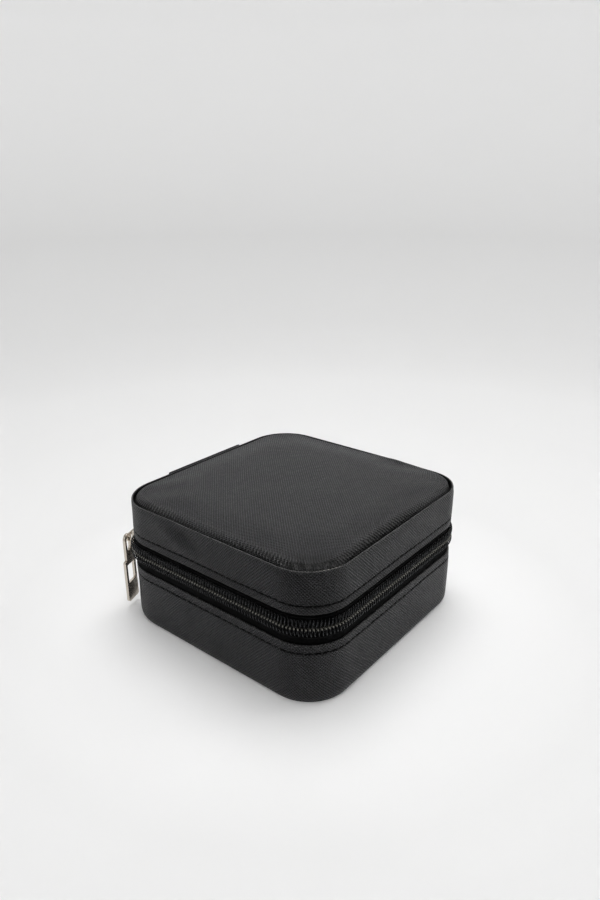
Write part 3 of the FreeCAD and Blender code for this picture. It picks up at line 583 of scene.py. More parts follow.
def add_stage():
    """A pale floor that sweeps up into a backdrop all round, as one surface of revolution."""
    flat, sweep, wall = 0.36, 0.34, 0.5
    bend = np.radians(np.linspace(0, 90, 19))
    radius = np.concatenate([np.linspace(0.002, flat, 24), flat + sweep * np.sin(bend[1:]), [flat + sweep]])
    height = np.concatenate([np.zeros(24), sweep * (1 - np.cos(bend[1:])), [sweep + wall]])
    sides = 96
    angle = 2 * math.pi * np.arange(sides) / sides
    points = revolved(radius[:, None], height[:, None], angle)
    faces = grid_faces(len(radius), sides, False, True, False)
    faces.append(np.arange(sides)[::-1].tolist())
    stage = mesh_object("stage_sweep", points.reshape(-1, 3), faces)
    look = Look("stage_paper", (0.83, 0.83, 0.82), 0.75)
    place = look.place()
    parts = look.split(place)
    reach = look.node("VectorMath", operation="LENGTH")
    flat_place = look.node("CombineXYZ")
    for axis in (0, 1):
        look.feed(flat_place.inputs[axis], parts[axis])
    look.feed(reach.inputs[0], flat_place.outputs[0])
    travelled = look.math("ADD", reach.outputs["Value"], parts[2])
    shade = look.node("ValToRGB")
    near, far = 0.04, 1.1
    # Painted light: the paper is palest next to the case, which lightens its contact shadow, then darkens
    # outwards and up the sweep, and pales again high on the backdrop.
    painted_light_stops = ((0.06, 0.97), (0.12, 0.80), (0.24, 0.75), (0.337, 0.73),
             (0.42, 0.685), (0.503, 0.65), (0.703, 0.61), (1.02, 0.77))
    ramp = shade.color_ramp
    while len(ramp.elements) < len(painted_light_stops):
        ramp.elements.new(0.5)
    for element, (distance, value) in zip(ramp.elements, painted_light_stops):
        element.position = (distance - near) / (far - near)
        element.color = (value, value, value, 1.0)
    look.feed(shade.inputs[0], look.span(travelled, near, far))
    look.feed(look.shader.inputs["Base Color"], shade.outputs[0])
    look.bump(look.noise(place, 1500.0, 2.0), 0.01 * MM)
    stage.data.materials.append(look.material)


def add_flag():
    """A dark card low in front of the case, as a studio flag: only reflections see it."""
    middle = math.atan2(CAMERA_PLACE[1], CAMERA_PLACE[0])
    turn = np.linspace(-1, 1, 25)
    angle = middle + np.radians(51 * turn - 3)
    start = 0.085 + 0.05 * np.clip(2.2 * np.abs(turn), 0, 1)
    radius = 0.19 + (start - 0.19) * np.array([1, 0.73, 0.45, 0.18, 0, 0, 0, 0])[:, None]
    height = np.array([0.001, 0.001, 0.002, 0.01, 0.05, 0.2, 0.4, 0.6])
    points = revolved(radius, height[:, None], angle)
    faces = grid_faces(len(height), len(angle), False, False, False)
    flag = mesh_object("stage_flag", points.reshape(-1, 3), faces)
    flag.data.materials.append(Look("stage_flag_cloth", (0.012, 0.012, 0.013), 0.9).material)
    flag.visible_camera = flag.visible_diffuse = flag.visible_shadow = flag.visible_transmission = False


def add_area_light(name, place, aim, size, power, reflected=True):
    lamp = bpy.data.lights.new(name, "AREA")
    lamp.shape = "DISK"
    lamp.size = size
    lamp.energy = power
    holder = bpy.data.objects.new(name, lamp)
    holder.location = place
    holder.rotation_mode = "QUATERNION"
    holder.rotation_quaternion = (Vector(aim) - Vector(place)).to_track_quat("-Z", "Y")
    holder.visible_glossy = reflected
    bpy.context.scene.collection.objects.link(holder)


def add_lights():
    add_area_light("overhead_softbox", (0.2, 0.1, 1.05), (0, 0, 0), 0.8, 4.7)
    add_area_light("side_softbox", (0.6, -0.5, 0.55), (0, 0, 0.02), 0.4, 4.8)
    add_area_light("front_fill", (-0.55, -0.45, 0.4), (0, 0, 0), 0.5, 1.4, reflected=False)
    world = bpy.data.worlds.new("soft_room")
    world.use_nodes = True
    background = world.node_tree.nodes["Background"]
    background.inputs["Color"].default_value = (1.0, 0.997, 0.99, 1.0)
    background.inputs["Strength"].default_value = 0.38
    scene = bpy.context.scene
    scene.world = world
    scene.view_settings.view_transform = "Standard"
    scene.view_settings.look = "Medium High Contrast"
    scene.view_settings.exposure = 0.0


# ---- leather walls
def wall_shape(stitch_height, low, high, bulge, dent, seed):
    """Outward push of a padded leather wall: a soft crown, a sewn groove and slow waves."""
    def shape(s, height):
        inside = ease(height, low, low + 3 * MM) * (1 - ease(height, high - 3 * MM, high))
        groove = -0.36 * MM * bell(height - stitch_height, 0.4 * MM)
        lip = 0.06 * MM * np.sin(s / (5.1 * MM) + 1.3 * seed) + 0.05 * MM * np.sin(s / (2.3 * MM))
        waves = 0.10 * MM * np.sin(s / (8.3 * MM) + seed) * np.sin(height / (4.1 * MM) + 0.5 * seed)
        push = bulge * inside + groove + waves * inside + lip * bell(height - stitch_height, 4 * MM) * 0.5
        push = push + 0.5 * zip_swell(s) * bell(height - PARTING, 6.5 * MM)
        return push if dent is None else push + dent(s, height)

    return shape


def side_dent(s, height):
    """A soft diagonal dent in the lid's left wall, lower towards the front, and a corner pressed in."""
    middle_s, middle_height = STRAIGHT + ARC - 11.0 * MM, 46.2 * MM
    corner_s = 246 * MM
    along = (s - middle_s) * 0.96 - (height - middle_height) * 0.28
    across = (s - middle_s) * 0.28 + (height - middle_height) * 0.96
    dent = -1.45 * MM * bell(along, 8.5 * MM) * bell(across, 2.8 * MM)
    pressed = -1.0 * MM * bell(s - corner_s, 9 * MM) * ease(height, 44 * MM, 51 * MM)
    return dent + pressed


def groove_rows(seam):
    """Profile rows of a sewn groove, with painted shade where the thread lies."""
    return [(0.0, seam + up, wear_and_painted_light) for up, wear_and_painted_light in
            ((-1.2, 0), (-0.7, 0), (-0.3, -0.3), (0, -1), (0.3, -0.3), (0.7, 0))]


def straight_rows(inset, levels):
    """Profile rows at one inset, with neither wear nor painted light."""
    return [(inset, level, 0) for level in levels]


def base_profile(low, seam, high):
    # The third column lightens the folded edges at the bottom and beside the zip, as rubbed wear with a
    # painted highlight, and gives the sewn groove painted shade.
    return [
        (2.4, low + 0.6, 0), (1.5, low + 0.15, 0), (0.8, low, 0.1), (0.3, low + 0.35, 0.25),
        (0.03, low + 1.2, 0.1),
        *straight_rows(0.0, (low + 3, low + 6, low + 9, low + 12, low + 15, low + 17.5)), *groove_rows(seam),
        (-0.03, high - 1.6, 0), (-0.12, high - 0.7, 0.05), (-0.05, high - 0.12, 0.45),
        (0.3, high + 0.12, 0.5), (0.7, high - 0.1, 0.1),
        *straight_rows(0.76, (high - 1.0, high - 3.0, high - 4.7)),
        *straight_rows(2.4, (high - 4.9, high - 12)),
    ]


def lid_profile(low, seam, high):
    # The third column lightens the folded edges beside the zip and, most, along the rim's top, as rubbed
    # wear with a painted highlight. The sewn groove and the rim's inner side beside the top panel get
    # painted shade.
    return [
        (2.4, low + 1.0, 0), (2.2, low + 0.1, 0), (0.9, low + 0.05, 0), (0.4, low - 0.1, 0.4),
        (0.0, low + 0.02, 0.5), (-0.1, low + 0.7, 0.1), (-0.05, low + 1.5, 0), *groove_rows(seam),
        *straight_rows(0.0, (seam + 1.2, seam + 2.4, seam + 4, seam + 6, seam + 8, seam + 9.5, high - 1.8)),
        (-0.02, high - 0.9, 0), (0.0, high - 0.2, 0.15), (0.22, high + 0.05, 1.0), (0.6, high + 0.03, 0.3),
        (0.78, high - 0.4, -0.6), (0.78, high - 1.4, -1), (0.78, high - 2.7, -1),
        *straight_rows(2.4, (high - 2.8, high - 8)),
    ]


def make_wall(body, profile, bulge, leather, seed, dent=None):
    """Leather over foam round the base's or the lid's walls."""
    low, high = (height / MM for height in heights(body + "_cover"))
    stitch_height = sum(heights(body + "_stitching")) / 2
    shape = wall_shape(stitch_height, low * MM, high * MM, bulge, dent, seed)
    piece = band(body + "_leather_wall", profile(low, stitch_height / MM, high), step=0.9 * MM, shape=shape)
    finish(piece, leather, "black_leather", body, body + "_cover", body + "_padding")


# ---- sewn seams
def make_stitching(node, body, thread):
    """Stitches all along the zip, whose ends dive into the leather."""
    height = sum(heights(node)) / 2
    pitch, length = 3.0 * MM, 2.5 * MM
    count = int((ZIP_END - ZIP_START) / pitch)
    t = np.linspace(-1, 1, 9)
    rings = []
    for k in range(count):
        s = ZIP_START + (k + 0.5) * (ZIP_END - ZIP_START) / count
        x, y = outline(s + t * length / 2, 0.02 * MM + 0.55 * MM * np.abs(t) ** 4)
        tilt = 0.16 * MM + 0.05 * MM * math.sin(3.7 * k)
        path = np.stack([x, y, height + 0.05 * MM * math.sin(1.9 * k) + tilt * t], -1)
        rings.append(stitch(path, UP, 0.24 * MM, 0.45))
    stand_in(tubes(node + "_thread", rings, thread), body, node)


# ---- zip
COIL_PITCH = 1.29 * MM


def zip_swell(s):
    """How far the zip is pushed out beside the slider, at the rear left corner."""
    middle, width = 49 * MM, 5.5 * MM
    return 0.95 * MM * bell(s - middle, width)


def coil_rings(low, high, towards, phase):
    """One row of the coil as a spiral. towards is 1 where its heads point up, -1 where down. Each
    turn's front runs from its round head down to its foot and is held by stitches halfway."""
    steps = 18
    turns = int((ZIP_END - ZIP_START) / COIL_PITCH)
    theta = np.arange(turns * steps + 1) * 2 * math.pi / steps
    s = ZIP_START + (theta / (2 * math.pi) + phase) * COIL_PITCH
    middle, reach = (low + high) / 2, (high - low) / 2
    cosine, sine = np.cos(theta), np.sin(theta)
    front = np.clip(sine, 0, 1) ** 0.6
    height = middle + towards * reach * cosine
    head = ease(cosine, 0.55, 0.95)
    sewn = bell(cosine - 0.42, 0.17) * front
    tucked = 0.25 * MM * head * (towards < 0)
    inset = (0.1 - 0.8 * front + 0.5 * np.clip(-sine, 0, 1) + 0.34 * sewn) * MM + tucked
    radius = (0.2 + 0.13 * head * (towards > 0) - 0.03 * sewn) * MM
    x, y = outline(s, inset - zip_swell(s))
    path = np.stack([x, y, height], -1)
    x_ahead, y_ahead = outline(s + 0.2 * MM, inset - zip_swell(s))
    across = np.stack([x_ahead - x, y_ahead - y, np.zeros_like(x)], -1)
    return tube_points(path, across, radius, 6)


def make_coils(nylon):
    base_low, base_high = heights("zipper_coil_base")
    lid_low, lid_high = heights("zipper_coil_lid")
    lap = 0.15 * MM
    lower_rings = coil_rings(base_low + 0.2 * MM, base_high + lap, 1, 0.0)
    upper_rings = coil_rings(lid_low - lap, lid_high + 0.1 * MM, -1, 0.5)
    lower = tubes("zip_coil_lower", [lower_rings], nylon)
    upper = tubes("zip_coil_upper", [upper_rings], nylon)
    stand_in(lower, "base", "zipper_coil_base")
    stand_in(upper, "lid", "zipper_coil_lid", "zipper_coil_lid_in_slider")


def tape_swell(s, height):
    return zip_swell(s) * bell(height - PARTING, 7 * MM)


def make_tapes(tape):
    for name, rib, body, nodes in (
        ("zip_tape_lower", 26.4, "base", ("zipper_tape_base",)),
        ("zip_tape_upper", 34.1, "lid", ("zipper_tape_lid", "zipper_tape_lid_in_slider")),
    ):
        low, high = (height / MM for height in heights(nodes[0]))
        profile = [
            (1.25, low, 0), *straight_rows(0.82, (low, *np.linspace(low + 1.5, rib - 0.5, 5))),
            *straight_rows(0.5, (rib - 0.15, rib + 0.15)),
            *straight_rows(0.82, (rib + 0.5, *np.linspace(rib + 0.9, high, 4))),
            *straight_rows(1.25, (high, (low + high) / 2)),
        ]
        piece = band(name, profile, ZIP_START - 0.2 * MM, ZIP_END + 0.2 * MM, shape=tape_swell, rounds=2)
        finish(piece, tape, "zip_tape", body, *nodes)


def make_bail(nickel):
    """The slider's bail as a bent, slightly flattened wire."""
    centre = Vector(JOINTS["slider_travel"]["pos_m"])
    cad = frame["nodes"]["slider_bail"]
    corners = np.array([cad.matrix_world @ v.co for v in cad.data.vertices]) - np.array(centre)
    outwards = corners[:, :2].sum(axis=0)
    outwards /= np.linalg.norm(outwards)
    sideways = np.array([-outwards[1], outwards[0]])
    reach, spread = corners[:, :2] @ outwards, corners[:, :2] @ sideways
    wire, bend, width = 0.5 * MM, 2.2 * MM, 0.9 * MM
    foot, crown, half = reach.min(), reach.max() - wire, spread.max() - wire
    angle = np.radians(np.linspace(0, 90, 9))
    r = np.concatenate([np.linspace(foot, crown - bend, 8)[:-1], crown - bend + bend * np.sin(angle)])
    t = np.concatenate([np.full(7, half), half - bend + bend * np.cos(angle)])
    r, t = np.concatenate([r, r[::-1]]), np.concatenate([t, -t[::-1]])
    height = (corners[:, 2].min() + corners[:, 2].max()) / 2 + centre.z
    plan = r[:, None] * outwards + t[:, None] * sideways + np.array(centre)[:2]
    path = np.column_stack([plan, np.full(len(r), height)])
    ring = flattened(path, tube_points(path, UP, wire, 14), (1.0, 1.0, width / wire))
    stand_in(tubes("slider_bail_wire", [ring], nickel), "slider", "slider_bail")


# ---- padded top panel
def rounded_reach(x, y, half, radius):
    """How far the rounded square's edge lies along each direction, against the plain square's."""
    large, small = np.maximum(np.abs(x), np.abs(y)), np.minimum(np.abs(x), np.abs(y))
    slope = small / np.maximum(large, 1e-9)
    centre = half - radius
    inside = (centre * (slope + 1)) ** 2 - (slope**2 + 1) * (2 * centre**2 - radius**2)
    hit = (centre * (slope + 1) + np.sqrt(np.maximum(inside, 0))) / (slope**2 + 1)
    return np.where(slope * half > centre, hit / half, 1.0)


def panel_grid(cells, half, radius, low, top, roll, drop):
    """Grid points of a panel whose edge rolls over, roll wide and drop deep, and runs down to low,
    and their flat coordinates."""
    flat_half = half - roll
    arc = (roll + drop) / 2 * math.pi / 2
    total = flat_half + arc + top - drop - low
    step = np.linspace(-1, 1, cells + 1)
    u, v = np.meshgrid(step, step, indexing="ij")
    share = np.maximum(np.abs(u), np.abs(v))
    travelled = share * total
    angle = np.clip((travelled - flat_half) / arc, 0, 1) * math.pi / 2
    reach = np.minimum(travelled, flat_half) + roll * np.sin(angle)
    height = top - drop * (1 - np.cos(angle)) - np.clip(travelled - flat_half - arc, 0, None)
    scale = np.where(share > 0, reach / np.maximum(share, 1e-9), 0)
    x, y = u * scale, v * scale
    blend = (reach / half) ** 4
    fit = 1 + (rounded_reach(x, y, half, radius) - 1) * blend
    return np.stack([x * fit, y * fit, height], -1), u * total, v * total


def evened(move, size):
    """Movements of a square grid's points with their short wrinkles averaged out."""
    grid = move.reshape(size, size, 3)
    for _ in range(10):
        wide = np.pad(grid, ((1, 1), (1, 1), (0, 0)), "edge")
        beside = wide[:-2, 1:-1] + wide[2:, 1:-1] + wide[1:-1, :-2] + wide[1:-1, 2:]
        grid = grid / 2 + beside / 8
    return grid.reshape(-1, 3)


def vertex_places(piece):
    return np.array([v.co for v in piece.data.vertices], float)


def simulate(piece, pinned, pressure, cap, grid=None):
    """Inflates a piece as cloth with its pinned vertices held, and applies the result. grid is the
    number of points on a side where the piece is one square grid, whose wrinkles are evened."""
    frames = 20
    rest = vertex_places(piece)
    group = piece.vertex_groups.new(name="pinned")
    group.add([int(k) for k in pinned], 1.0, "REPLACE")
    cloth = piece.modifiers.new("cloth", "CLOTH")
    settings = cloth.settings
    settings.quality = 6
    settings.mass = 0.2
    settings.tension_stiffness = settings.compression_stiffness = 12
    settings.shear_stiffness = 6
    settings.bending_stiffness = 0.4
    settings.use_pressure = True
    settings.uniform_pressure_force = pressure
    settings.vertex_group_mass = "pinned"
    settings.effector_weights.gravity = 0
    cloth.point_cache.frame_start, cloth.point_cache.frame_end = 1, frames
    scene = bpy.context.scene
    for number in range(1, frames + 1):
        scene.frame_set(number)
    depsgraph = bpy.context.evaluated_depsgraph_get()
    blown = vertex_places(piece.evaluated_get(depsgraph))
    piece.modifiers.remove(cloth)
    piece.vertex_groups.remove(group)
    scene.frame_set(1)
    move = blown - rest
    distance = np.linalg.norm(move, axis=1)
    move *= np.minimum(1, cap / np.maximum(distance, 1e-9))[:, None]
    if grid is not None:
        move = evened(move, grid)
    piece.data.vertices.foreach_set("co", (rest + move).astype(np.float32).ravel())
    piece.data.update()


def apply_modifiers(piece):
    depsgraph = bpy.context.evaluated_depsgraph_get()
    mesh = bpy.data.meshes.new_from_object(piece.evaluated_get(depsgraph))
    piece.modifiers.clear()
    piece.data = mesh


def subdivide(piece, levels):
    """Catmull-Clark subdivision, applied."""
    modifier = piece.modifiers.new("finer", "SUBSURF")
    modifier.levels = modifier.render_levels = levels
    apply_modifiers(piece)


def move_vertices(piece, change):
    piece.data.vertices.foreach_set("co", change(vertex_places(piece)).astype(np.float32).ravel())
    piece.data.update()


def fill_holes(piece):
    work = bmesh.new()
    work.from_mesh(piece.data)
    bmesh.ops.holes_fill(work, edges=[e for e in work.edges if e.is_boundary], sides=0)
    work.to_mesh(piece.data)
    work.free()


def panel_places(points):
    """Run along the puckers, distance from the panel's edge and the puckers' share at each point."""
    s, inset = outline_place(points[:, 0], points[:, 1])
    depth = inset - (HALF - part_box("lid_top_leather")[1].x)
    sides = ease(s, 46 * MM, 60 * MM) * (1 - ease(s, 218 * MM, 236 * MM))
    pull = 0.65 + 0.35 * np.sin(s / (13 * MM) + 0.8) * np.sin(s / (37 * MM) + 2.0)
    run = s + 0.3 * depth + 0.3 * MM * np.sin(s / (3.1 * MM))
    return run, depth, sides, sides * pull


def near_corner(points, depth):
    """Share of the panel's slack corner, which is pulled inwards and down."""
    x, y = points[:, 0], points[:, 1]
    return bell(np.hypot(x + 43 * MM, y + 43 * MM), 9 * MM) * (1 - ease(depth, 1 * MM, 9 * MM))


def panel_details(points):
    """Puckers where the leather is pulled over the panel's edge, a slack corner and soft hollows."""
    x, y, z = points.T
    run, depth, sides, share = panel_places(points)
    corner = near_corner(points, depth)
    edge = 1 - ease(depth, 0, 3.5 * MM)
    above = z > 48.6 * MM
    near = ease(depth, -0.2 * MM, 0.5 * MM) * (1 - ease(depth, 2.5 * MM, 5.0 * MM))
    puckers = 0.12 * MM * near * share * np.sin(2 * math.pi * run / PUCKER_PITCH)
    lump = 1.1 * MM * bell(np.hypot(x - 47 * MM, y + 17 * MM), 8 * MM) * edge
    lift = puckers + lump + (0.35 * (1 - sides) - 0.7 * sides) * MM * edge - 0.8 * MM * corner
    z = z + lift * above + 0.10 * MM * wander(points, 45.0, 3) * ease(depth, 0.5 * MM, 8 * MM)
    slack = 1.3 * MM * corner * ease(z, 50.1 * MM, 51.2 * MM)
    return np.stack([x + slack, y + slack, z], -1)


def mark_panel(piece):
    """Vertex attributes that the puckered leather reads."""
    points = vertex_places(piece)
    run, depth, _, share = panel_places(points)
    # The slack near corner gets painted shade through a negative wear_and_painted_light value.
    slack = ease(near_corner(points, depth), 0.3, 0.5) * (1 - ease(depth, 2.7 * MM, 3.3 * MM))
    marks = {"pucker_run": run, "edge_depth": depth, "pucker_share": share, "wear_and_painted_light": -slack}
    for name, values in marks.items():
        mark(piece.data, name, values)


def square_panel(name, cells, half, low, top, roll, drop):
    """A padded panel shaped like the outline, open underneath, and the numbers of its edge vertices."""
    points, u, v = panel_grid(cells, half, CORNER - (HALF - half), low, top, roll, drop)
    size = cells + 1
    i, j = np.meshgrid(np.arange(cells), np.arange(cells), indexing="ij")
    corners = [(i, j), (i + 1, j), (i + 1, j + 1), (i, j + 1)]
    faces = np.stack([a * size + b for a, b in corners], -1).reshape(-1, 4).tolist()
    uvs = np.stack([np.stack([u[a, b], v[a, b]], -1) for a, b in corners], 2).reshape(-1, 2)
    piece = mesh_object(name, points.reshape(-1, 3), faces, uvs)
    border = np.ones((size, size), bool)
    border[2:-2, 2:-2] = False
    return piece, np.flatnonzero(border.ravel())


def make_top_panel(leather):
    low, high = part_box("lid_top_leather")
    half, top = high.x - 0.2 * MM, high.z - 0.7 * MM
    cells = 72
    piece, border = square_panel("lid_top_panel", cells, half, low.z, top, 2.2 * MM, 1.7 * MM)
    simulate(piece, border, 4.0, 1.4 * MM, grid=cells + 1)
    subdivide(piece, 2)
    mark_panel(piece)
    move_vertices(piece, panel_details)
    fill_holes(piece)
    finish(piece, leather, "black_leather", "lid", "lid_top_leather", "lid_top_foam")


# ---- rounded blocks and turned parts
def axis_steps(half, rounding, spacing):
    """Positions along half an axis and its mirror, close together where the edge is rounded."""
    count = max(1, int((half - rounding) / spacing))
    flat = np.linspace(0, half - rounding, count + 1)
    edge = half - rounding + rounding * np.tan(np.linspace(0, math.pi / 4, 5)[1:])
    steps = np.concatenate([flat, edge])
    return np.concatenate([-steps[:0:-1], steps])


def rounded_box(name, low, high, rounding, spacing=1.2 * MM):
    """A box with rounded edges as one even mesh, mapped in metres face by face."""
    low, high = np.array(low), np.array(high)
    middle, half = (low + high) / 2, (high - low) / 2
    rounding = min(rounding, *(0.98 * half))
    steps = [axis_steps(h, rounding, spacing) for h in half]
    vertices, faces, uvs, offset = [], [], [], 0
    for axis in range(3):
        first, second = (axis + 1) % 3, (axis + 2) % 3
        a, b = np.meshgrid(steps[first], steps[second], indexing="ij")
        for sign in (-1, 1):
            face = np.zeros((*a.shape, 3))
            face[..., first], face[..., second], face[..., axis] = a, b, sign * half[axis]
            faces += grid_faces(*a.shape, False, False, False, offset)
            uvs.append(grid_uvs(steps[first], steps[second], *a.shape, False, False, False))
            vertices.append(face.reshape(-1, 3))
            offset += a.size
    shell = np.vstack(vertices)
    core = np.clip(shell, -(half - rounding), half - rounding)
    out = shell - core
    shell = middle + core + rounding * out / np.maximum(np.linalg.norm(out, axis=1), 1e-12)[:, None]
    piece = mesh_object(name, shell, faces, np.vstack(uvs))
    work = bmesh.new()
    work.from_mesh(piece.data)
    bmesh.ops.remove_doubles(work, verts=work.verts, dist=0.002 * MM)
    bmesh.ops.recalc_face_normals(work, faces=work.faces)
    work.to_mesh(piece.data)
    work.free()
    return piece


def turned_rings(centre, profile, sides=32):
    """Rings of a turned part from (radius, height) rows in millimetres."""
    line = np.array(profile, float) * MM
    angle = 2 * math.pi * np.arange(sides) / sides
    x = centre[0] + line[:, :1] * np.cos(angle)
    y = centre[1] + line[:, :1] * np.sin(angle)
    return np.stack([x, y, np.broadcast_to(centre[2] + line[:, 1:2], x.shape)], -1)


def corner_limit(y, inset):
    """Half width of the room inside the walls at y."""
    reach = CORNER - inset
    past = np.clip(np.abs(y) - STRAIGHT / 2, 0, reach)
    return STRAIGHT / 2 + np.sqrt(reach**2 - past**2)


# ---- hinge strap
def strap_stitches(thread):
    """Two rows of stitches down the strap and one across each end, on the body that they sit on."""
    low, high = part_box("hinge_strap")
    edge, pitch, length = 2.2 * MM, 3.0 * MM, 2.3 * MM
    width = high.x - low.x - 2 * edge
    face = high.y - 0.24 * MM
    t = np.linspace(-1, 1, 7)
    ends = {
        "base": (low.z + edge, PARTING - 6 * MM, low.z + edge),
        "lid": (PARTING + 6 * MM, high.z - edge, high.z - edge),
    }
    for body, (bottom, top, end) in ends.items():
        places = []
        for x in (low.x + edge, high.x - edge):
            count = int((top - bottom) / pitch)
            places += [((x, bottom + (k + 0.5) * (top - bottom) / count), (0, 1)) for k in range(count)]
        count = int(width / pitch)
        places += [((low.x + edge + (k + 0.5) * width / count, end), (1, 0)) for k in range(count)]
        rings = []
        for (x, z), (along_x, along_z) in places:
            path = np.stack([x + along_x * t * length / 2, face - 0.5 * MM * np.abs(t) ** 4,
                             z + along_z * t * length / 2], -1)
            rings.append(stitch(path, (0.0, 1.0, 0.0), 0.22 * MM))
        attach(tubes("strap_thread_" + body, rings, thread), body)


def make_hinge(leather, cloth):
    """The strap outside, creased across the parting, and the cloth strip inside it."""
    low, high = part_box("hinge_strap")
    strap = rounded_box("hinge_strap_leather", low, high, 0.5 * MM, 0.8 * MM)

    def strap_shape(points):
        x, y, z = points.T
        outer = ease(y, low.y + 0.3 * MM, high.y)
        crease = sum(bell(z - PARTING - k * 2.1 * MM, 0.5 * MM) for k in (-1, 0, 1))
        border = np.minimum(np.minimum(x - low.x, high.x - x), np.minimum(z - low.z, high.z - z))
        sewn = bell(border - 2.2 * MM, 0.5 * MM) * (np.abs(z - PARTING) > 5 * MM)
        y = y - outer * (0.22 * MM * crease + 0.3 * MM * sewn)
        return np.stack([x, y + outer * 0.08 * MM * wander(points, 160.0, 4), z], -1)

    move_vertices(strap, strap_shape)
    dress(strap, leather)
    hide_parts("hinge_strap")
    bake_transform(strap)
    start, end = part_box("hinge_inner_strip")
    inner = rounded_box("hinge_inner_cloth", start, end, 0.2 * MM, 0.8 * MM)
    dress(inner, cloth)
    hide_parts("hinge_inner_strip")
    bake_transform(inner)


# ---- lining
def base_lining_profile(low, high):
    """Rows of the lining's room side, its hem over the frame and its back."""
    return [
        *straight_rows(4.33, (low, low + 8, low + 18, high + 0.03)), (3.0, high + 0.03, 0),
        (1.75, high + 0.03, 0), (1.6, high - 1.4, 0), (1.4, high - 1.4, 0), (1.36, high - 0.3, 0),
        (1.8, high + 0.34, 0), (3.0, high + 0.38, 0), (4.4, high + 0.36, 0), (4.98, high - 0.1, 0),
        *straight_rows(4.95, (high - 1.5, high - 6, low + 10, low + 3, low)),
    ]


def lid_lining_profile(low, high):
    return [
        *straight_rows(4.95, (low + 0.1, low + 3, low + 7, high)), (4.35, high, 0), (4.33, low + 5, 0),
        (4.33, low + 0.05, 0), (3.0, low - 0.05, 0), (1.75, low + 0.05, 0), (1.6, low + 1.6, 0),
        (1.4, low + 1.6, 0), (1.34, low + 0.3, 0), (1.8, low - 0.34, 0), (3.2, low - 0.4, 0),
        (4.5, low - 0.36, 0),
    ]


def lining_waves(s, height):
    return 0.05 * MM * np.sin(s / (6.7 * MM)) * np.sin(height / (3.3 * MM))


def make_lining(body, profile, velvet):
    """Velvet round the walls, turned over the frame's edge in a soft hem."""
    node = body + "_lining"
    low, high = (height / MM for height in heights(node))
    piece = band(node + "_velvet", profile(low, high), step=1.5 * MM, shape=lining_waves, rounds=2)
    finish(piece, velvet, "velvet", body, node)


def make_ceiling(velvet):
    """The padded velvet panel inside the lid, crowned towards the room."""
    low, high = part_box("lid_ceiling")
    half, bottom, top = high.x - 0.1 * MM, low.z + 0.2 * MM, high.z - 0.15 * MM
    piece, border = square_panel("lid_ceiling_velvet", 40, half, bottom, top, 2.2 * MM, 0.9 * MM)
    simulate(piece, border, 2.0, 0.5 * MM)
    subdivide(piece, 1)
    fill_holes(piece)
    move_vertices(piece, lambda points: points * (1, 1, -1) + (0, 0, low.z + high.z))
    piece.data.flip_normals()
    finish(piece, velvet, "velvet", "lid", "lid_ceiling")


# ---- inside of the base
def make_rolls(velvet):
    """Foam ring rolls: each is blown up as cloth round its core, so that it wrinkles on its own."""
    for number in range(1, 5):
        node = f"ring_roll_{number}"
        low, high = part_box(node)
        start = np.array(low) + (0.3 * MM, 0.3 * MM, -3 * MM)
        end = np.array(high) - 0.3 * MM
        roll = rounded_box(node + "_velvet", start, end, 4.3 * MM, 1.6 * MM)

        def fit(points, low=low):
            x, y, z = points.T
            room = corner_limit(y, 5.5 * MM)
            return np.stack([np.clip(x, -room, room), y, np.maximum(z, low.z)], -1)

        move_vertices(roll, fit)
        remesh = roll.modifiers.new("even", "REMESH")
        remesh.mode, remesh.voxel_size, remesh.use_smooth_shade = "VOXEL", 1.5 * MM, True
        apply_modifiers(roll)
        resting = np.flatnonzero(vertex_places(roll)[:, 2] < low.z + 1.2 * MM)
        simulate(roll, resting, 3.0 + 0.3 * number, 0.45 * MM)
        subdivide(roll, 1)

        def folds(points, number=number):
            return points + wander(points, 230.0, number)[:, None] * (0, 0.06 * MM, 0.12 * MM)

        move_vertices(roll, folds)
        finish(roll, velvet, "velvet", "base", node)


def make_partitions(velvet):
    """Velvet-wrapped boards: the fixed partition and the two loose dividers."""
    for node in ("centre_partition", "divider_left", "divider_right"):
        low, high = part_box(node)
        board = rounded_box(node + "_velvet", low, high, 0.95 * MM, 1.0 * MM)

        def wrap(points, low=low, high=high):
            x, y, z = points.T
            swell = 0.05 * MM * wander(points, 120.0, 6)
            if high.x - low.x < high.y - low.y:
                x = x + swell * np.sign(x - (low.x + high.x) / 2)
            else:
                y = y + swell * np.sign(y - (low.y + high.y) / 2)
            return np.stack([x, y, z], -1)

        move_vertices(board, wrap)
        finish(board, velvet, "velvet", "base" if node == "centre_partition" else node, node)


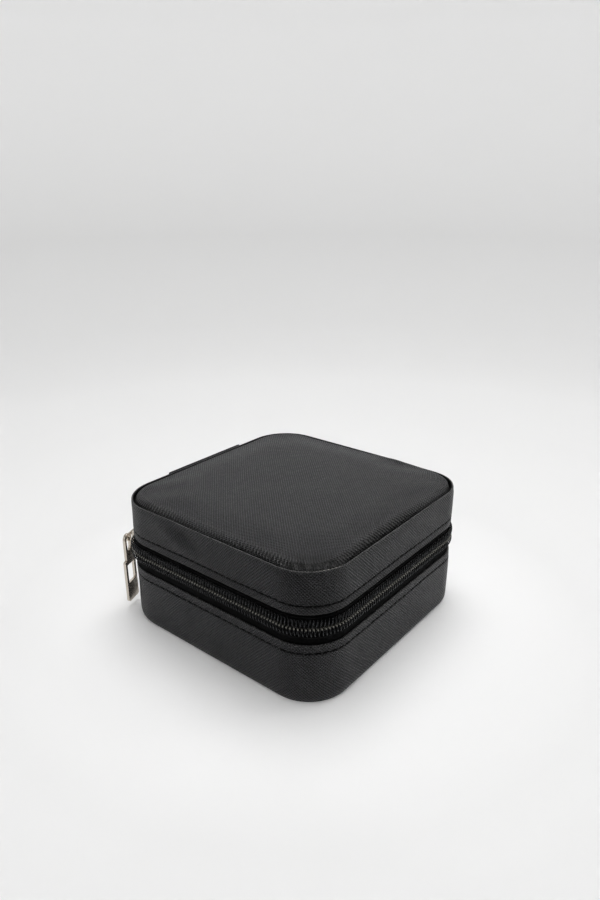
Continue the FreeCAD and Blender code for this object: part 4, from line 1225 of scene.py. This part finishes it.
# ---- inside of the lid
def make_hooks(leather, thread, nickel):
    """The strip that carries the necklace tabs, the tabs and their snap studs."""
    low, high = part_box("hook_strip")
    strip = rounded_box("hook_strip_leather", low, high, 0.6 * MM, 0.9 * MM)
    finish(strip, leather, "black_leather", "lid", "hook_strip")
    t = np.linspace(-1, 1, 7)
    rings = []
    for x in np.arange(low.x + 2.5 * MM, high.x - 2 * MM, 3.0 * MM):
        line = np.full(len(t), (low.y + high.y) / 2)
        path = np.stack([x + 1.1 * MM * t, line, low.z + 0.45 * MM * np.abs(t) ** 4], -1)
        rings.append(stitch(path, (0.0, 1.0, 0.0), 0.2 * MM))
    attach(tubes("hook_strip_thread", rings, thread), "lid")
    for number in range(1, 4):
        make_tab(number, leather, thread, nickel)
    low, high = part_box("snap_studs")
    depth = (high.z - low.z) / MM
    profile = [(0.05, 0.45), (0.9, 0.0), (1.15, 0.0), (1.3, 0.25), (1.1, 0.7), (1.25, depth - 0.6),
               (2.0, depth - 0.5), (2.2, depth - 0.25), (2.15, depth), (0.05, depth)]
    rings = [turned_rings((number * 24 * MM, (low.y + high.y) / 2, low.z), profile) for number in (-1, 0, 1)]
    stand_in(tubes("snap_studs_turned", rings, nickel), "lid", "snap_studs")


def make_tab(number, leather, thread, nickel):
    """A leather necklace tab with a round tip, edge stitching and the cap of its snap."""
    node = f"necklace_tab_{number}"
    low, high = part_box(node)
    middle, half = (low.x + high.x) / 2, (high.x - low.x) / 2
    tab = rounded_box(node + "_leather", low, high, 0.45 * MM, 0.5 * MM)

    def round_tip(points):
        x, y, z = points.T
        past = np.clip(y - (high.y - half), 0, half)
        narrow = np.sqrt(np.maximum(half**2 - past**2, 0)) / half
        rim = bell(half * narrow - np.abs(x - middle) - 1.0 * MM, 0.35 * MM)
        centre = (low.z + high.z) / 2
        return np.stack([middle + (x - middle) * narrow, y, z - np.sign(z - centre) * 0.1 * MM * rim], -1)

    move_vertices(tab, round_tip)
    finish(tab, leather, "black_leather", node, node)
    inner = half - 1.0 * MM
    straight = high.y - half - low.y - 3 * MM
    length = 2 * straight + math.pi * inner
    rings = []
    t = np.linspace(-1, 1, 5)
    for k in range(int(length / (2.1 * MM))):
        run = (k + 0.5) * 2.1 * MM + t * 0.75 * MM
        angle = np.clip((run - straight) / inner, 0, math.pi)
        x = middle + inner * np.cos(angle)
        y = high.y - half + inner * np.sin(angle)
        y = y - np.clip(straight - run, 0, None) - np.clip(run - straight - math.pi * inner, 0, None)
        path = np.stack([x, y, low.z + 0.04 * MM + 0.35 * MM * np.abs(t) ** 4], -1)
        rings.append(stitch(path, UP, 0.15 * MM))
    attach(tubes(node + "_thread", rings, thread), node)
    cap = f"snap_cap_{number}"
    low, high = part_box(cap)
    depth, radius = (high.z - low.z) / MM, (high.x - low.x) / 2 / MM
    profile = [(0.05, 0.0), (radius * 0.35, 0.04), (radius * 0.65, 0.15), (radius * 0.88, 0.38),
               (radius, 0.7), (radius, 0.85), (radius - 0.15, depth), (0.05, depth)]
    ring = turned_rings((middle, (low.y + high.y) / 2, low.z), profile)
    stand_in(tubes(cap + "_turned", [ring], nickel), node, cap)


def make_pocket(cloth):
    """The lid's pocket: a gathered cloth on an elastic hem, sewn to the ceiling on three sides."""
    low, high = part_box("lid_pocket")
    columns, rows = 220, 60
    across, back = np.linspace(-1, 1, columns + 1), np.linspace(0, 1, rows + 1)
    a, b = np.meshgrid(across, back, indexing="ij")
    x = a * high.x
    y = low.y + 0.4 * MM + b * (high.y - low.y - 0.6 * MM)
    hang = np.sqrt(np.clip(1 - np.abs(a) ** 5, 0, 1)) * (1 - ease(b, 0.25, 1.0)) ** 0.8
    belly = 0.55 * MM * np.sin(math.pi * np.clip(b / 0.5, 0, 1)) * (1 - a**2)
    fold = np.sin(58 * a + 2.2 * np.sin(5 * a) + 0.8 * np.sin(4 * b)) + 0.6 * np.sin(97 * a + 1.7 + 2 * b)
    pleat = 0.42 * MM * fold * (1 - ease(b, 0.0, 0.95)) ** 1.2 * (1 - np.abs(a) ** 8)
    z = high.z - 0.35 * MM - (high.z - low.z - 1.4 * MM) * hang - belly + pleat
    points = np.stack([x, y, z], -1)
    u, v = across * high.x * 1.25, back * (high.y - low.y) * 1.1
    faces = grid_faces(columns + 1, rows + 1, False, False, False)
    uvs = grid_uvs(u, v, columns + 1, rows + 1, False, False, False)
    pocket = mesh_object("lid_pocket_cloth", points.reshape(-1, 3), faces, uvs)
    thick = pocket.modifiers.new("thick", "SOLIDIFY")
    thick.thickness, thick.offset = 0.3 * MM, 0.0
    apply_modifiers(pocket)
    finish(pocket, cloth, "pocket_cloth", "lid", "lid_pocket")
    path = points[::2, 0] + (0, -1.0 * MM, 0)
    path[0, 2] = path[-1, 2] = high.z - 0.9 * MM
    number = np.arange(len(path))
    ruffle = 1 + 0.16 * np.sin(number * 1.9) + 0.08 * np.sin(number * 0.73)
    ring = flattened(path, tube_points(path, UP, 0.8 * MM * ruffle, 12), (1.0, 1.7, 1.0))
    elastic = tubes("pocket_elastic_cloth", [ring], cloth)
    stand_in(elastic, "lid", "pocket_elastic")


# ---- the whole case
def dress_cad(nickel, leather, velvet, board, plastic):
    """Materials for the CAD nodes that stay as they are."""
    looks = {
        "slider_body": nickel, "pull_tab": nickel, "base_bottom_panel": leather,
        "base_floor_lining": velvet, "base_floor_board": board, "lid_top_board": board,
        "base_frame": plastic, "lid_frame": plastic,
    }
    for node, material in looks.items():
        frame["nodes"][node].data.materials.clear()
        frame["nodes"][node].data.materials.append(material)


def main():
    add_camera()
    add_stage()
    add_flag()
    add_lights()
    leather, top_leather = saffiano_look("saffiano_walls", -45), saffiano_look("saffiano_panels", 45)
    thread, nickel, tape = thread_look(), nickel_look(), tape_look()
    velvet, satin = velvet_look(), satin_look()
    make_wall("base", base_profile, 0.22 * MM, leather, seed=2)
    make_wall("lid", lid_profile, 0.2 * MM, leather, seed=5, dent=side_dent)
    make_top_panel(saffiano_look("saffiano_top", 45, puckered=True))
    make_stitching("base_stitching", "base", thread)
    make_stitching("lid_stitching", "lid", thread)
    make_coils(nylon_look())
    make_tapes(tape)
    make_bail(nickel)
    make_hinge(top_leather, tape)
    strap_stitches(thread)
    make_lining("base", base_lining_profile, velvet)
    make_lining("lid", lid_lining_profile, velvet)
    make_ceiling(velvet)
    make_rolls(velvet)
    make_partitions(velvet)
    make_hooks(top_leather, thread, nickel)
    make_pocket(satin)
    underside = saffiano_look("saffiano_underside", 45, mapped=False)
    dress_cad(nickel, underside, velvet, board_look(), plastic_look())


main()
